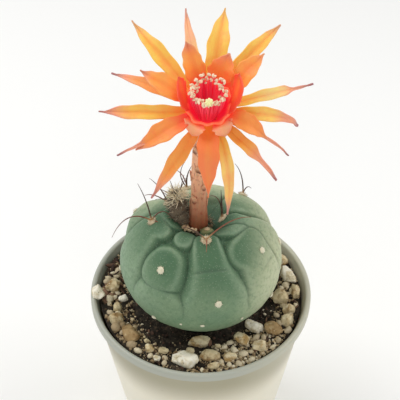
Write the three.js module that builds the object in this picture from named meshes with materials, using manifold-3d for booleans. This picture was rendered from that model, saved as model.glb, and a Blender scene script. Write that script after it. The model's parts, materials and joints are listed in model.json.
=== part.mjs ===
// Potted matucana in bloom: a low globular cactus with one orange flower, in a small nursery pot.
// Millimetres, +Z up, origin at the middle of the pot's flat underside, the flower leaning to -Y.
// Heights in the plant are measured from the pot's rim, where the plant group stands.
import * as THREE from "three";
import { mergeVertices } from "three/addons/utils/BufferGeometryUtils.js";
import Module from "manifold-3d";

const wasm = await Module();
wasm.setup();

const { Vector3, Matrix4, CatmullRomCurve3, BufferGeometry, MathUtils } = THREE;
const { smoothstep, lerp, seededRandom: random } = MathUtils;
const DEGREE = Math.PI / 180;

// Pot
const POT_HEIGHT = 50;
const RIM_RADIUS = 27.5;
const LIP_WIDTH = 1.4;
const LIP_HEIGHT = 2.4;
const COLLAR_RADIUS = 26.4;
const BASE_RADIUS = 19.5;
const WALL = 0.9;
const FLOOR = 1.2;
const POT_SIDES = 40;
const DRAIN_HOLES = 6;
const DRAIN_RADIUS = 2;
const DRAIN_CIRCLE = 12.5;

// Room left between two pieces that touch, the wider cut that keeps it between faceted ones,
// and the one that keeps it in the creases of the crown
const CLEAR = 0.3;
const SEAT = 0.42;
const CROWN_SEAT = 0.65;

// Soil, with its level measured down from the rim
const SOIL_LEVEL = -4.3;
const SOIL_RISE = 1.7;
const SOIL_BANK = 1;
const SOIL_RELIEF = 0.2;
const SOIL_SIDES = 32;
const SOIL_RINGS = [24.8, 22.4, 20, 17.6, 15.2, 12.8];

// Stem: an ellipsoid over the tops of its tubercles, with a sunk crown and a foot in the soil
const STEM_MIDDLE = 11.15;
const STEM_RADIUS = 19.6;
const STEM_RISE = 15.64;
const STEM_SIDES = 60;
const STEM_STEP = 5.7;
const CROWN_DEPTH = 3.9;
const CROWN_FLOOR = 0.13;
const CROWN_EDGE = 0.46;
const CREASE_DEPTH = 1.5;
const CREASE_POWER = 3.6;
const CREASE_SOFTNESS = 0.06;
const CREASE_FADE = [-20, 30];
const WAIST_LATITUDE = -44;
const FOOT_RADIUS = 8;
const FOOT_LEVEL = -8;

// Ribs and the young tubercles between them, from the crown down. Each knot gives the turn round the stem
// (0 faces -Y, positive towards +X), the latitude and the half width, all in degrees, and how low it lies.
const RIBS = {
  front: [
    [8, 70, 8, 0.35],
    [8, 64, 10, 0],
    [9.5, 52, 14, 0.05],
    [11, 41, 17, 0.3],
    [12, 13, 24, 0],
    [8, -45, 24, 0],
  ],
  frontLeftBud: [
    [-30, 71, 7, 0.4],
    [-28, 64, 8.5, 0.3],
  ],
  frontLeft: [
    [-35, 41, 14.5, 0],
    [-36, 34, 17, 0],
    [-36, 30, 17, 0.05],
  ],
  frontLeftFoot: [
    [-33, 8, 17, 0.1],
    [-33, 0, 22, 0.1],
    [-33, -45, 23, 0],
  ],
  left: [
    [-66, 59, 8, 0.3],
    [-84, 54.5, 11.5, 0],
    [-80, 40, 17, 0],
    [-78, 20, 21, 0.1],
    [-78, -45, 23, 0],
  ],
  leftBud: [
    [-94, 66, 8, 0.2],
    [-76, 70, 7, 0.3],
  ],
  backLeft: [
    [-126, 62, 8, 1.2],
    [-124, 50, 11, 1.4],
    [-118, 27, 15, -0.6],
    [-122, 14, 21, 0],
    [-124, -45, 23, 0],
  ],
  backWest: [
    [-166, 60, 10, 0.7],
    [-166, 50, 12, 0.5],
    [-166, 35, 17, 0.3],
    [-168, 5, 22, 0],
    [-168, -45, 23, 0],
  ],
  backEast: [
    [161, 60, 9, 0.2],
    [160, 49, 11, -0.2],
    [160, 35, 16, 0.1],
    [163, 5, 20, 0],
    [165, -45, 22, 0],
  ],
  backRight: [
    [120, 62, 9, 0.2],
    [124, 48, 12.5, -0.5],
    [125, 34, 16, -0.4],
    [130, 0, 20, 0],
    [132, -45, 22, 0],
  ],
  right: [
    [82, 71, 7, 0.3],
    [86, 62, 7, 0.4],
    [89, 50, 8, 0.5],
    [90, 38, 11.5, 0.2],
    [93, 14, 18, 0],
    [95, -45, 21, 0],
  ],
  frontRightBud: [
    [46, 70, 7, 0.5],
    [60, 64, 7.5, 0.6],
    [76, 57, 6.5, 0.6],
  ],
  frontRight: [
    [66, 45, 14.5, 0],
    [59, 36, 17.5, 0],
    [58, 20, 21, 0.15],
    [57, 0, 22.5, 0],
    [55, -45, 23, 0],
  ],
  // A young tubercle in the sunk crown, before the flower's foot
  crownBud: [
    [32, 82, 6, 0.1],
    [36, 80, 6, 0.1],
  ],
};
const RIB_STEPS = 5;

// Wool pads without spines, on the tubercles low on the ribs
const BALD_AREOLES = [
  [12, 14],
  [1, -11],
  [-34.5, 35.5],
  [-36, -18],
  [-80, -2],
  [-118, 26],
  [-167, 8],
  [163, 8],
  [128, 8],
  [92, 16],
  [63.5, 36.5],
  [62, -15],
];
const AREOLE_RADIUS = 0.75;
const AREOLE_RISE = 0.3;
const AREOLE_SUNK = 0.4;
const PAD_SIDES = 6;
const SPINY_PAD_RADIUS = 1.15;
const SPINY_PAD_RISE = 0.7;

// Spiny areoles: their place, and for each spine its half-way point, its tip and its radius at the foot
const SPINE_TIP = 0.1;
const SPINY_AREOLES = {
  spines_left: {
    at: [-85, 54.5],
    spines: [
      [[-1, 0.3, 5.6], [-2.8, 1, 10.6], 0.24],
      [[-5.2, -0.8, 1.6], [-9.3, -2, -3.6], 0.22],
      [[2.4, -0.3, 3.1], [4.6, -0.2, 1.5], 0.22],
    ],
  },
  spines_front: {
    at: [8, 64],
    spines: [
      [[5.2, 1, 4.6], [10, 2, 5.1], 0.22],
      [[-3.6, 0.6, 2.8], [-5.8, 1.2, 2.3], 0.22],
      [[0.1, -1.8, 0.5], [0, -3.4, -0.6], 0.2],
    ],
  },
  spines_back_right: {
    at: [134, 45],
    spines: [
      [[-0.5, 0.2, 5.4], [-2.1, 0.3, 9.2], 0.22],
      [[0.9, 0.5, 1.6], [2, 0.9, 0.9], 0.2],
    ],
  },
  spines_right: {
    at: [86, 73],
    spines: [
      [[-0.2, 0.1, 4.4], [-0.4, 0.2, 8.8], 0.3],
      [[-1, 0.3, 5.6], [-3.4, 0.5, 6.2], 0.2],
    ],
  },
  spines_back: {
    at: [-163, 54],
    spines: [
      [[0.1, 0.3, 3.4], [1.3, 0.8, 6.4], 0.24],
      [[-1.5, 0.6, 3.6], [-0.4, 1.4, 7], 0.2],
      [[-1.2, 2.8, 1.6], [-3.4, 5.2, 1.4], 0.2],
    ],
  },
  spines_back_left: {
    at: [-124, 60],
    spines: [
      [[-1.8, 1.2, 3.4], [-4.2, 2.2, 5.6], 0.22],
      [[-3, 0.4, 1.8], [-5.4, 0.6, 1.6], 0.2],
    ],
  },
};

// Flower: the middle of its open limb, its lean forward from upright, and its tube's route
const LIMB = new Vector3(1.4, -14, 67.6);
const FLOWER_LEAN = 33 * DEGREE;
const CUP_DEPTH = 8.8;
const TUBE_STRAIGHT = 3;
const TUBE_FOOT = [
  [-0.7, 0.3, 20.4],
  [-0.5, -0.5, 31],
  [-0.3, -2.2, 42],
  [0.3, -4.9, 51],
];
const TUBE_FOOT_RADIUS = 2.3;
const TUBE_RADIUS = 1.75;
const TUBE_TOP_RADIUS = 2.2;
const TUBE_SIDES = 10;
const TUBE_SCALES = 12;

// Tepals, in the flower's own frame: the turn at the root and at the tip (0 is +X, 90 is up),
// the radius and height half-way, the radius and height of the tip, and the width
const TEPAL_THICKNESS = 0.6;
const OUTER_TEPALS = [
  [109, 102, 12.4, 1.2, 21.4, -1, 2.4],
  [81, 80.5, 13, 1.2, 20.5, 0, 4.1],
  [51, 50, 13.7, 1.2, 22.3, -1, 3.3],
  [6, 14, 11.7, 0.4, 21.2, -2, 2.7],
  [-17, -8, 11.5, 1, 18, -3, 3],
  [-36, -27, 11, 0.4, 18, -4.4, 2],
  [-52, -43, 12.2, -0.6, 19, -6, 2.7],
  [-68, -79, 13.2, -2.2, 19.9, -9, 2.4],
  [-117, -124, 12.8, -2.2, 20.3, -7, 2.9],
  [-144, -154, 12.8, -1.2, 18.8, -4, 2],
  [-166, -178, 12.8, 0.6, 21.5, -1, 3.2],
  [164, 158.5, 13.1, 0.4, 20.7, -2, 2.2],
  [137, 130, 14.5, 1.2, 23.5, -1, 3.2],
  [-90, -90, 9.8, -0.6, 16.4, -8, 4.5],
];
const OUTER_ROOT = [3.5, -1.2];
// The shorter ones before them: seven spread out, two stand as walls beside the throat, two fold below it
const INNER_TEPALS = [
  [114, 112, 7.6, 3.8, 11.3, 6, 4.3],
  [68, 65, 6.8, 3.6, 9.4, 5, 5],
  [32, 40, 9, 3.9, 13.9, 4, 4],
  [-14, 36, 5.3, 3.2, 7.2, 5.8, 5],
  [-28, -31, 8.6, 1.6, 13, 0, 3.7],
  [-58, -62, 5.5, 0.8, 6.9, -0.8, 4.4],
  [-122, -118, 5.5, 0.8, 6.7, -0.8, 4.4],
  [-142, -150, 10.2, 1.2, 16.2, -3, 3.9],
  [188, 148, 4.9, 3.2, 6.6, 5.8, 4.6],
  [167, 155.5, 9, 3.2, 14.3, 3, 3.9],
];
const INNER_ROOT = [3.9, 0.4];

// Cup of the flower, as radius and height, up the outside and down the inside
const CUP_OUTSIDE = [
  [2.2, -8.8],
  [2.7, -5.2],
  [3.4, -1.9],
  [4.3, 0.4],
  [4.7, 1.2],
];
const CUP_INSIDE = [
  [4.4, 1.6],
  [3.8, 0.6],
  [2.9, -1.4],
  [2.1, -5],
  [1.8, -8],
];
const CUP_SIDES = 18;

// Stamens and style, in the flower's own frame
const STAMENS = 18;
const STAMEN_ROOT = [1.25, -7.4];
const STAMEN_TOP = [3.35, 7.2];
const FILAMENT_RADIUS = 0.2;
const ANTHER_SIZE = [0.62, 0.42, 0.55];
const STYLE_ROOT = -7.6;
const STYLE_RADIUS = 0.35;
const STIGMA_AT = [0.05, -2.75, 8.9];
const STIGMA_LOBES = 6;
const STIGMA_GAP = 30;

// Withered bud beside the tube, with wool on top; its spines have their place up the bud and their reach
const BUD_FOOT = new Vector3(-4.4, 0.4, 22.6);
const BUD_TOP = new Vector3(-6.2, 1.6, 31);
const BUD_RADIUS = 2.5;
const BUD_TUFTS = 22;
const BUD_SPINES = [
  [0.75, -2.8, 0.3, 2],
  [0.8, -0.9, 0.5, 3.4],
  [0.6, 1.4, 1.2, 6.4],
  [0.75, 1.9, 0.8, 4.4],
  [0.45, -2.8, -0.2, 4.2],
  [0.7, -3.7, 0.4, -0.2],
];
const TUFT_RADIUS = 0.62;
const TUFT_REACH = [1.5, 3.1];
// Young wool round the tube's foot, as lumps from one turn to another
const CROWN_WOOL_RADIUS = 3.7;
const CROWN_WOOL_LEVEL = 23.4;
const CROWN_WOOL_LUMPS = 7;
const CROWN_WOOL_TURNS = [-50, 150];
const WOOL_LUMP = 1.35;

// Stones of the top dressing: turn and distance from the middle, length, width and height,
// turn of the long side from +X, and tone
const STONES = [
  [-93.5, 22.2, 4.1, 2.9, 3, 15, "tan"],
  [-84, 19.5, 3, 1.9, 1.9, 43, "white"],
  [-75, 21.4, 3.1, 2.2, 2.4, -80, "tan"],
  [-66, 22.7, 3.8, 3.3, 2.8, 11, "tan"],
  [-51.5, 22, 5.2, 3.8, 2.6, -55, "brown"],
  [-40.5, 20.1, 1.6, 1.5, 1.4, 0, "tan"],
  [-34, 21.7, 2.6, 2.2, 2, 11, "cream"],
  [-25.5, 20.4, 2.6, 2.1, 1.8, -5, "tan"],
  [-26.5, 23.4, 1.9, 1.6, 1.6, 0, "white"],
  [-0.6, 14.9, 6, 2.8, 2.4, 14, "cream"],
  [-8, 17.9, 2.3, 1.8, 1.6, -20, "cream"],
  [-10.5, 21.8, 6.5, 4, 3.4, -26, "white"],
  [6.3, 19.6, 5, 3.2, 2.6, -3, "tan"],
  [7.5, 23.1, 3.2, 1.7, 1.8, 2, "tan"],
  [14.5, 16.6, 1.8, 1.4, 1.4, -30, "tan"],
  [19.5, 21.3, 3.4, 2.5, 2, 12, "cream"],
  [35, 17.4, 4.2, 3.2, 2.7, -47, "cream"],
  [52, 16.7, 4.7, 2.7, 2.7, -40, "white"],
  [56, 21.3, 5, 3.4, 3, -30, "brown"],
  [39.5, 22.1, 3.5, 3, 2.6, 5, "cream"],
  [66.5, 23.1, 3.6, 2.9, 2.8, 10, "cream"],
  [75.5, 22.4, 3.6, 2.7, 2.7, 5, "tan"],
  [86, 20, 4.7, 3.5, 3.2, -14, "tan"],
  [90.5, 23.8, 4.2, 2.2, 2.8, -86, "tan"],
  [104, 22.9, 6, 2.8, 2.8, -62, "white"],
  [118, 23.3, 4.2, 2.6, 2.7, -45, "tan"],
  [131, 22.8, 2.6, 2, 2, -20, "cream"],
  [147, 21.6, 3.8, 3, 2.6, 10, "tan"],
  [163, 22.6, 3, 2.6, 2.2, 40, "cream"],
  [179, 21.4, 4.4, 3.2, 2.8, -10, "tan"],
  [-164, 22.4, 3, 2.4, 2.2, 20, "white"],
  [-148, 21.4, 3.8, 3.2, 2.6, 50, "tan"],
  [-131, 22.6, 2.6, 2.2, 2, 0, "cream"],
];
const STONE_SUNK = 0.15;
// One stone lies over the lip, on its neighbour and the lip's top
const LIP_STONE = { turn: -83.5, distance: 25.6, size: [3.6, 4.6, 3], spin: 12, sunk: 0.25, tone: "white" };

// Colours
const COLOURS = {
  pot: 0xd3d2c9,
  soil: 0x4a3b33,
  stem: 0x6f967c,
  spines: 0x6b5442,
  bud: 0xb9a68c,
  wool: 0x9a7c66,
  tube: 0xb96a4a,
  tepals: 0xf7893a,
  stamens: 0xd9324a,
  style: 0xd9d084,
  tan: 0xb9a585,
  brown: 0x8f765f,
  cream: 0xcfc3ad,
  white: 0xe4dfd7,
};

// A closed mesh's solid, with its shared corners merged.
function solidFrom(geometry) {
  const bare = new BufferGeometry().setAttribute("position", geometry.getAttribute("position"));
  bare.setIndex(geometry.index);
  const merged = mergeVertices(bare);
  return new wasm.Manifold(
    new wasm.Mesh({
      numProp: 3,
      vertProperties: new Float32Array(merged.attributes.position.array),
      triVerts: new Uint32Array(merged.index.array),
    }),
  );
}

// A solid's faces as a geometry.
function geometryFrom(solid) {
  const { vertProperties, triVerts, numProp } = solid.getMesh();
  const positions = vertProperties.filter((_, i) => i % numProp < 3);
  const geometry = new BufferGeometry().setAttribute("position", new THREE.BufferAttribute(positions, 3));
  return geometry.setIndex(new THREE.BufferAttribute(new Uint32Array(triVerts), 1));
}

// All the given solids joined, less any loose scrap.
function joined(solids) {
  return largest(wasm.Manifold.union(solids));
}

// The biggest body of a solid.
function largest(solid) {
  return solid.decompose().reduce((best, body) => (body.volume() > best.volume() ? body : best));
}

// A faceted mesh with its name and finish.
function piece(name, solid, colour, roughness) {
  const geometry = geometryFrom(solid).toNonIndexed();
  geometry.computeVertexNormals();
  const finish = new THREE.MeshStandardMaterial({ color: colour, roughness, metalness: 0 });
  const mesh = new THREE.Mesh(geometry, finish);
  mesh.name = name;
  return mesh;
}

// A closed skin through rings of points that run counter-clockwise seen from the last ring.
// A ring of one point is a tip, and an open end gets a flat cap.
function ringSkin(rings) {
  const middle = (ring) => ring.reduce((sum, p) => sum.add(p), new Vector3()).divideScalar(ring.length);
  const all = rings.slice();
  if (all[0].length > 1) all.unshift([middle(all[0])]);
  if (all.at(-1).length > 1) all.push([middle(all.at(-1))]);
  const points = all.flat();
  const faces = [];
  let first = 0;
  for (let k = 0; k + 1 < all.length; k += 1) {
    const [low, high] = [all[k].length, all[k + 1].length];
    const next = first + low;
    for (let i = 0; i < Math.max(low, high); i += 1) {
      const a = first + (i % low);
      const b = first + ((i + 1) % low);
      const c = next + ((i + 1) % high);
      const d = next + (i % high);
      if (low > 1) faces.push(a, b, c);
      if (high > 1) faces.push(a, c, d);
    }
    first = next;
  }
  return new BufferGeometry().setFromPoints(points).setIndex(faces);
}

// A round stalk along a curve, with its radius given along it and a tip where that is nil.
function stalk(curve, radiusAt, sides, steps) {
  const frames = curve.computeFrenetFrames(steps, false);
  const rings = [];
  for (let k = 0; k <= steps; k += 1) {
    const centre = curve.getPointAt(k / steps);
    const radius = radiusAt(k / steps);
    const around = (i) => {
      const angle = (2 * Math.PI * i) / sides;
      const out = frames.normals[k].clone().multiplyScalar(Math.cos(angle) * radius);
      return out.addScaledVector(frames.binormals[k], Math.sin(angle) * radius).add(centre);
    };
    rings.push(radius > 0 ? Array.from({ length: sides }, (_, i) => around(i)) : [centre]);
  }
  return solidFrom(ringSkin(rings));
}

// A thin blade from a grid of points with their normals, split alike on both faces.
function blade(grid, thickness) {
  const rows = grid.length;
  const columns = grid[0].length;
  const half = thickness / 2;
  const top = grid.flat().map(({ point, normal }) => point.clone().addScaledVector(normal, half));
  const bottom = grid.flat().map(({ point, normal }) => point.clone().addScaledVector(normal, -half));
  const under = top.length;
  const faces = [];
  for (let r = 0; r + 1 < rows; r += 1) {
    for (let c = 0; c + 1 < columns; c += 1) {
      const a = r * columns + c;
      const b = a + columns;
      faces.push(a, b, b + 1, a, b + 1, a + 1);
      faces.push(a + under, b + 1 + under, b + under, a + under, a + 1 + under, b + 1 + under);
    }
  }
  const edge = [];
  for (let r = 0; r < rows; r += 1) edge.push(r * columns);
  for (let c = 1; c < columns; c += 1) edge.push((rows - 1) * columns + c);
  for (let r = rows - 2; r >= 0; r -= 1) edge.push(r * columns + columns - 1);
  for (let c = columns - 2; c > 0; c -= 1) edge.push(c);
  edge.forEach((u, i) => {
    const v = edge[(i + 1) % edge.length];
    faces.push(v, u, u + under, v, u + under, v + under);
  });
  return solidFrom(new BufferGeometry().setFromPoints([...top, ...bottom]).setIndex(faces));
}

// A closed lathe solid round Z from radius and height pairs, in order round the section.
function turned(section, sides) {
  const profile = section.map(([radius, height]) => new THREE.Vector2(radius, height));
  return solidFrom(new THREE.LatheGeometry(profile, sides).rotateX(Math.PI / 2));
}

// A point at a turn round Z, where 0 faces -Y and positive turns go towards +X.
function around(turn, radius, height) {
  return new Vector3(radius * Math.sin(turn * DEGREE), -radius * Math.cos(turn * DEGREE), height);
}

// Pot: a tapered wall with a rolled lip, and a floor with drain holes.
function makePot() {
  const lipFoot = POT_HEIGHT - LIP_HEIGHT;
  const inside = (height) => potInside(height - POT_HEIGHT);
  const section = [
    [0, 0],
    [BASE_RADIUS - 0.5, 0],
    [BASE_RADIUS, 0.5],
    [COLLAR_RADIUS, lipFoot],
    [RIM_RADIUS - 0.2, lipFoot + 0.2],
    [RIM_RADIUS, lipFoot + 0.9],
    [RIM_RADIUS, POT_HEIGHT - 0.6],
    [RIM_RADIUS - 0.35, POT_HEIGHT - 0.1],
    [RIM_RADIUS - LIP_WIDTH / 2, POT_HEIGHT],
    [RIM_RADIUS - LIP_WIDTH, POT_HEIGHT - 0.5],
    [inside(lipFoot), lipFoot],
    [inside(FLOOR + 0.8), FLOOR + 0.8],
    [inside(FLOOR) - 0.8, FLOOR],
    [0, FLOOR],
  ];
  let pot = turned(section, POT_SIDES);
  for (let i = 0; i < DRAIN_HOLES; i += 1) {
    const hole = new THREE.CylinderGeometry(DRAIN_RADIUS, DRAIN_RADIUS, 4 * FLOOR, 12).rotateX(Math.PI / 2);
    const at = around((360 * i) / DRAIN_HOLES, DRAIN_CIRCLE, FLOOR / 2);
    pot = pot.subtract(solidFrom(hole.translate(at.x, at.y, at.z)));
  }
  return pot;
}

// Inner radius of the pot's wall at a height from the rim.
function potInside(level) {
  const height = (POT_HEIGHT + level) / (POT_HEIGHT - LIP_HEIGHT);
  return lerp(BASE_RADIUS, COLLAR_RADIUS, Math.min(height, 1)) - WALL;
}

// Height of the soil's face, which rises to the wall, most of all on the left.
function soilFace(turn, radius) {
  const rise = SOIL_RISE * smoothstep(radius, 12, 25);
  const bank = SOIL_BANK * Math.max(0, -Math.sin(turn * DEGREE)) * smoothstep(radius, 15, 25);
  return SOIL_LEVEL + rise + bank;
}

// Soil: fills the pot and is rough on top, with a seat for the stem and one for each stone.
function makeSoil(stem, stones) {
  const turns = Array.from({ length: SOIL_SIDES }, (_, i) => (360 * i) / SOIL_SIDES);
  const level = (radius, height) => turns.map((turn) => around(turn, radius, height));
  const relief = () => lerp(-SOIL_RELIEF, SOIL_RELIEF, random());
  const rough = (radius) => turns.map((turn) => around(turn, radius, soilFace(turn, radius) + relief()));
  const floor = FLOOR + CLEAR - POT_HEIGHT;
  const wallGap = CLEAR + 0.1;
  random(3);
  const rings = [
    level(potInside(floor) - 1.4, floor),
    level(potInside(floor + 1) - wallGap, floor + 1),
    level(potInside(SOIL_LEVEL) - wallGap, SOIL_LEVEL),
    ...SOIL_RINGS.map(rough),
    level(FOOT_RADIUS, SOIL_LEVEL),
  ];
  let soil = solidFrom(ringSkin(rings)).subtract(stem);
  for (const stone of stones) soil = soil.subtract(stone);
  return largest(soil);
}

// Radius and height of the stem's outer form at a latitude, with its outward direction.
function stemForm(latitude) {
  const [cosine, sine] = [Math.cos(latitude * DEGREE), Math.sin(latitude * DEGREE)];
  const sunk = latitude > 0 ? CROWN_DEPTH * (1 - smoothstep(cosine, CROWN_FLOOR, CROWN_EDGE)) : 0;
  const out = new THREE.Vector2(cosine / STEM_RADIUS, sine / STEM_RISE).normalize();
  return { radius: STEM_RADIUS * cosine, height: STEM_MIDDLE + STEM_RISE * sine - sunk, out };
}

// A direction as a unit vector, for the angles between places on the stem.
function heading(turn, latitude) {
  return around(turn, Math.cos(latitude * DEGREE), Math.sin(latitude * DEGREE));
}

// One rib's swellings, spaced evenly from each of its knots to the next.
function swellings(rib) {
  const between = (i, share) => {
    const [first, last] = [rib[i], rib[i + 1]];
    const way = heading(first[0], first[1]).lerp(heading(last[0], last[1]), share).normalize();
    return { way, width: lerp(first[2], last[2], share), low: lerp(first[3], last[3], share) };
  };
  const steps = Array.from({ length: RIB_STEPS * (rib.length - 1) + 1 }, (_, k) => k / RIB_STEPS);
  return steps.map((place) => {
    const i = Math.min(Math.floor(place), rib.length - 2);
    return between(i, place - i);
  });
}
const SWELLINGS = Object.values(RIBS).map(swellings);

// How deep the stem's skin lies under its outer form: little on the ribs, and sharply more in the creases.
function creaseDepth(turn, latitude) {
  const here = heading(turn, latitude);
  const depthUnder = ({ way, width, low }) => {
    const angle = Math.acos(MathUtils.clamp(way.dot(here), -1, 1)) / DEGREE;
    return low + CREASE_DEPTH * (angle / width) ** CREASE_POWER;
  };
  const depths = SWELLINGS.map((rib) => Math.min(...rib.map(depthUnder)));
  const total = depths.reduce((sum, depth) => sum + Math.exp(-depth / CREASE_SOFTNESS), 0);
  const depth = total > 0 ? -CREASE_SOFTNESS * Math.log(total) : Infinity;
  return Math.min(depth, 1.6 * CREASE_DEPTH) * smoothstep(latitude, ...CREASE_FADE);
}

// A point on the stem's skin, moved out by a given clearance.
function stemPoint(turn, latitude, clearance = 0) {
  const { radius, height, out } = stemForm(latitude);
  const move = clearance - creaseDepth(turn, latitude);
  return around(turn, radius + move * out.x, height + move * out.y);
}

// Stem: the ribbed body with its foot in the soil, its bare wool pads standing a little proud.
function makeStem(clearance = 0) {
  const turns = Array.from({ length: STEM_SIDES }, (_, i) => (360 * i) / STEM_SIDES);
  const waist = stemForm(WAIST_LATITUDE);
  const rings = [
    turns.map((turn) => around(turn, FOOT_RADIUS + clearance, FOOT_LEVEL - clearance)),
    turns.map((turn) => around(turn, FOOT_RADIUS + 1.6 + clearance, SOIL_LEVEL)),
    turns.map((turn) => around(turn, lerp(FOOT_RADIUS + 1.6, waist.radius, 0.55) + clearance, SOIL_LEVEL + 2)),
  ];
  for (let latitude = WAIST_LATITUDE; latitude < 87; latitude += STEM_STEP) {
    rings.push(turns.map((turn) => stemPoint(turn, latitude, clearance)));
  }
  rings.push([stemPoint(0, 90, clearance)]);
  const body = solidFrom(ringSkin(rings));
  if (clearance > 0) return body;
  const pads = BALD_AREOLES.map((place) => pad(...place, AREOLE_RADIUS, AREOLE_RISE, AREOLE_SUNK));
  return joined([body, ...pads]);
}

// The stem's outward direction at a place.
function stemNormal(turn, latitude) {
  const step = 1.5;
  const round = stemPoint(turn + step, latitude).sub(stemPoint(turn - step, latitude));
  const up = stemPoint(turn, latitude + step).sub(stemPoint(turn, latitude - step));
  return round.cross(up).normalize();
}

// A small round pad of wool on the stem, with its foot sunk by a given depth or, if that is negative, clear.
function pad(turn, latitude, radius, rise, sunk) {
  const way = stemNormal(turn, latitude);
  const place = new Matrix4().lookAt(way, new Vector3(), new Vector3(0, 0, 1));
  place.setPosition(stemPoint(turn, latitude).addScaledVector(way, -sunk));
  const rings = [
    [radius, 0],
    [radius * 0.8, sunk > 0 ? sunk + rise * 0.6 : rise * 0.7],
  ].map(([size, height]) =>
    Array.from({ length: PAD_SIDES }, (_, i) => {
      const angle = (2 * Math.PI * i) / PAD_SIDES;
      return new Vector3(size * Math.cos(angle), size * Math.sin(angle), height);
    }),
  );
  rings.push([new Vector3(0, 0, sunk > 0 ? sunk + rise : rise)]);
  return solidFrom(ringSkin(rings).applyMatrix4(place));
}

// A spiny areole: its wool pad just clear of the stem, with its curved spines rooted in it.
function makeSpines({ at: [turn, latitude], spines }) {
  const root = stemPoint(turn, latitude).addScaledVector(stemNormal(turn, latitude), CLEAR + 0.15);
  const parts = spines.map(([half, tip, radius]) => {
    const curve = new THREE.QuadraticBezierCurve3(
      root,
      root.clone().addScaledVector(new Vector3(...half), 2).addScaledVector(new Vector3(...tip), -0.5),
      root.clone().add(new Vector3(...tip)),
    );
    return stalk(curve, (t) => (t < 1 ? lerp(radius, SPINE_TIP, t) : 0), 3, 6);
  });
  return joined([pad(turn, latitude, SPINY_PAD_RADIUS, SPINY_PAD_RISE, -CLEAR), ...parts]);
}

// A narrow cone from one point to another, for wool, scales and short spines.
function spike(from, to, radius, sides = 3) {
  return stalk(new THREE.LineCurve3(from, to), (t) => radius * (1 - t), sides, 1);
}

// The flower's frame: +Z along its axis, +X to the right, at the middle of its limb.
function placeFlower(object) {
  object.position.copy(LIMB);
  object.rotation.x = FLOWER_LEAN;
  object.updateMatrix();
  return object;
}

// The route of the floral tube, which ends straight under the cup.
function tubeRoute() {
  const { matrix } = placeFlower(new THREE.Object3D());
  const end = -CUP_DEPTH - CLEAR;
  const last = [end - TUBE_STRAIGHT, end].map((height) => new Vector3(0, 0, height).applyMatrix4(matrix));
  return new CatmullRomCurve3([...TUBE_FOOT.map((p) => new Vector3(...p)), ...last]);
}

// Radius of the floral tube along its route: a swollen foot, slender, and wider under the cup.
function tubeRadius(t) {
  const foot = (TUBE_FOOT_RADIUS - TUBE_RADIUS) * (1 - smoothstep(t, 0, 0.22));
  return TUBE_RADIUS + foot + (TUBE_TOP_RADIUS - TUBE_RADIUS) * smoothstep(t, 0.8, 1);
}

// Floral tube with its narrow scales, and the room it needs in its neighbours.
function makeTube() {
  const route = tubeRoute();
  const tube = stalk(route, tubeRadius, TUBE_SIDES, 12);
  const frames = route.computeFrenetFrames(TUBE_SCALES, false);
  const scales = Array.from({ length: TUBE_SCALES - 3 }, (_, i) => {
    const k = i + 2;
    const angle = i * 137.5 * DEGREE;
    const side = frames.normals[k].clone().multiplyScalar(Math.cos(angle));
    side.addScaledVector(frames.binormals[k], Math.sin(angle));
    const root = route.getPointAt(k / TUBE_SCALES).addScaledVector(side, tubeRadius(k / TUBE_SCALES) - 0.3);
    const tip = root.clone().addScaledVector(frames.tangents[k], 2.6).addScaledVector(side, 0.9);
    return spike(root, tip, 0.42);
  });
  return joined([tube, ...scales]);
}

// The space round the tube's foot that its neighbours keep free.
function tubeRoom() {
  const route = tubeRoute();
  const foot = route.getPointAt(0);
  const low = new Vector3(foot.x, foot.y, foot.z - CLEAR);
  const room = new CatmullRomCurve3([low, ...[0.02, 0.1, 0.2, 0.3].map((t) => route.getPointAt(t))]);
  return stalk(room, () => TUBE_FOOT_RADIUS + SEAT, 12, 6);
}

// One tepal: a channelled blade that rises out of the cup and arches out to its tip.
function tepal(shape, [rootRadius, rootHeight]) {
  const [rootTurn, tipTurn, halfRadius, halfHeight, tipRadius, tipHeight, width] = shape;
  const route = new CatmullRomCurve3([
    new Vector3(rootRadius, 0, rootHeight),
    new Vector3(halfRadius, 0, halfHeight),
    new Vector3(tipRadius, 0, tipHeight),
  ]);
  const rows = 7;
  const grid = [];
  for (let r = 0; r < rows; r += 1) {
    const t = r / (rows - 1);
    const { x: radius, z: height } = route.getPointAt(t);
    const slope = route.getTangentAt(t);
    const angle = lerp(rootTurn, tipTurn, t) * DEGREE;
    const out = new Vector3(Math.cos(angle), Math.sin(angle), 0);
    const side = new Vector3(-Math.sin(angle), Math.cos(angle), 0);
    const normal = out.clone().multiplyScalar(-slope.z);
    normal.z += slope.x;
    const wide = (width / 2) * (0.12 + 0.88 * Math.sin(Math.PI * Math.min(1, 0.12 + 0.88 * t)) ** 0.9);
    grid.push(
      [-1, 0, 1].map((across) => {
        const lift = 0.24 * wide * across * across;
        const point = out.clone().multiplyScalar(radius).addScaledVector(side, across * wide);
        point.z += height;
        return { point: point.addScaledVector(normal, lift), normal };
      }),
    );
  }
  return blade(grid, TEPAL_THICKNESS);
}

// Perianth: the cup with its ring of long tepals and the shorter ones before them.
function makePerianth() {
  const cup = turned([[0, -CUP_DEPTH], ...CUP_OUTSIDE, ...CUP_INSIDE, [0, CUP_INSIDE.at(-1)[1]]], CUP_SIDES);
  const outer = OUTER_TEPALS.map((shape) => tepal(shape, OUTER_ROOT));
  const inner = INNER_TEPALS.map((shape) => tepal(shape, INNER_ROOT));
  return joined([cup, ...outer, ...inner]);
}

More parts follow.
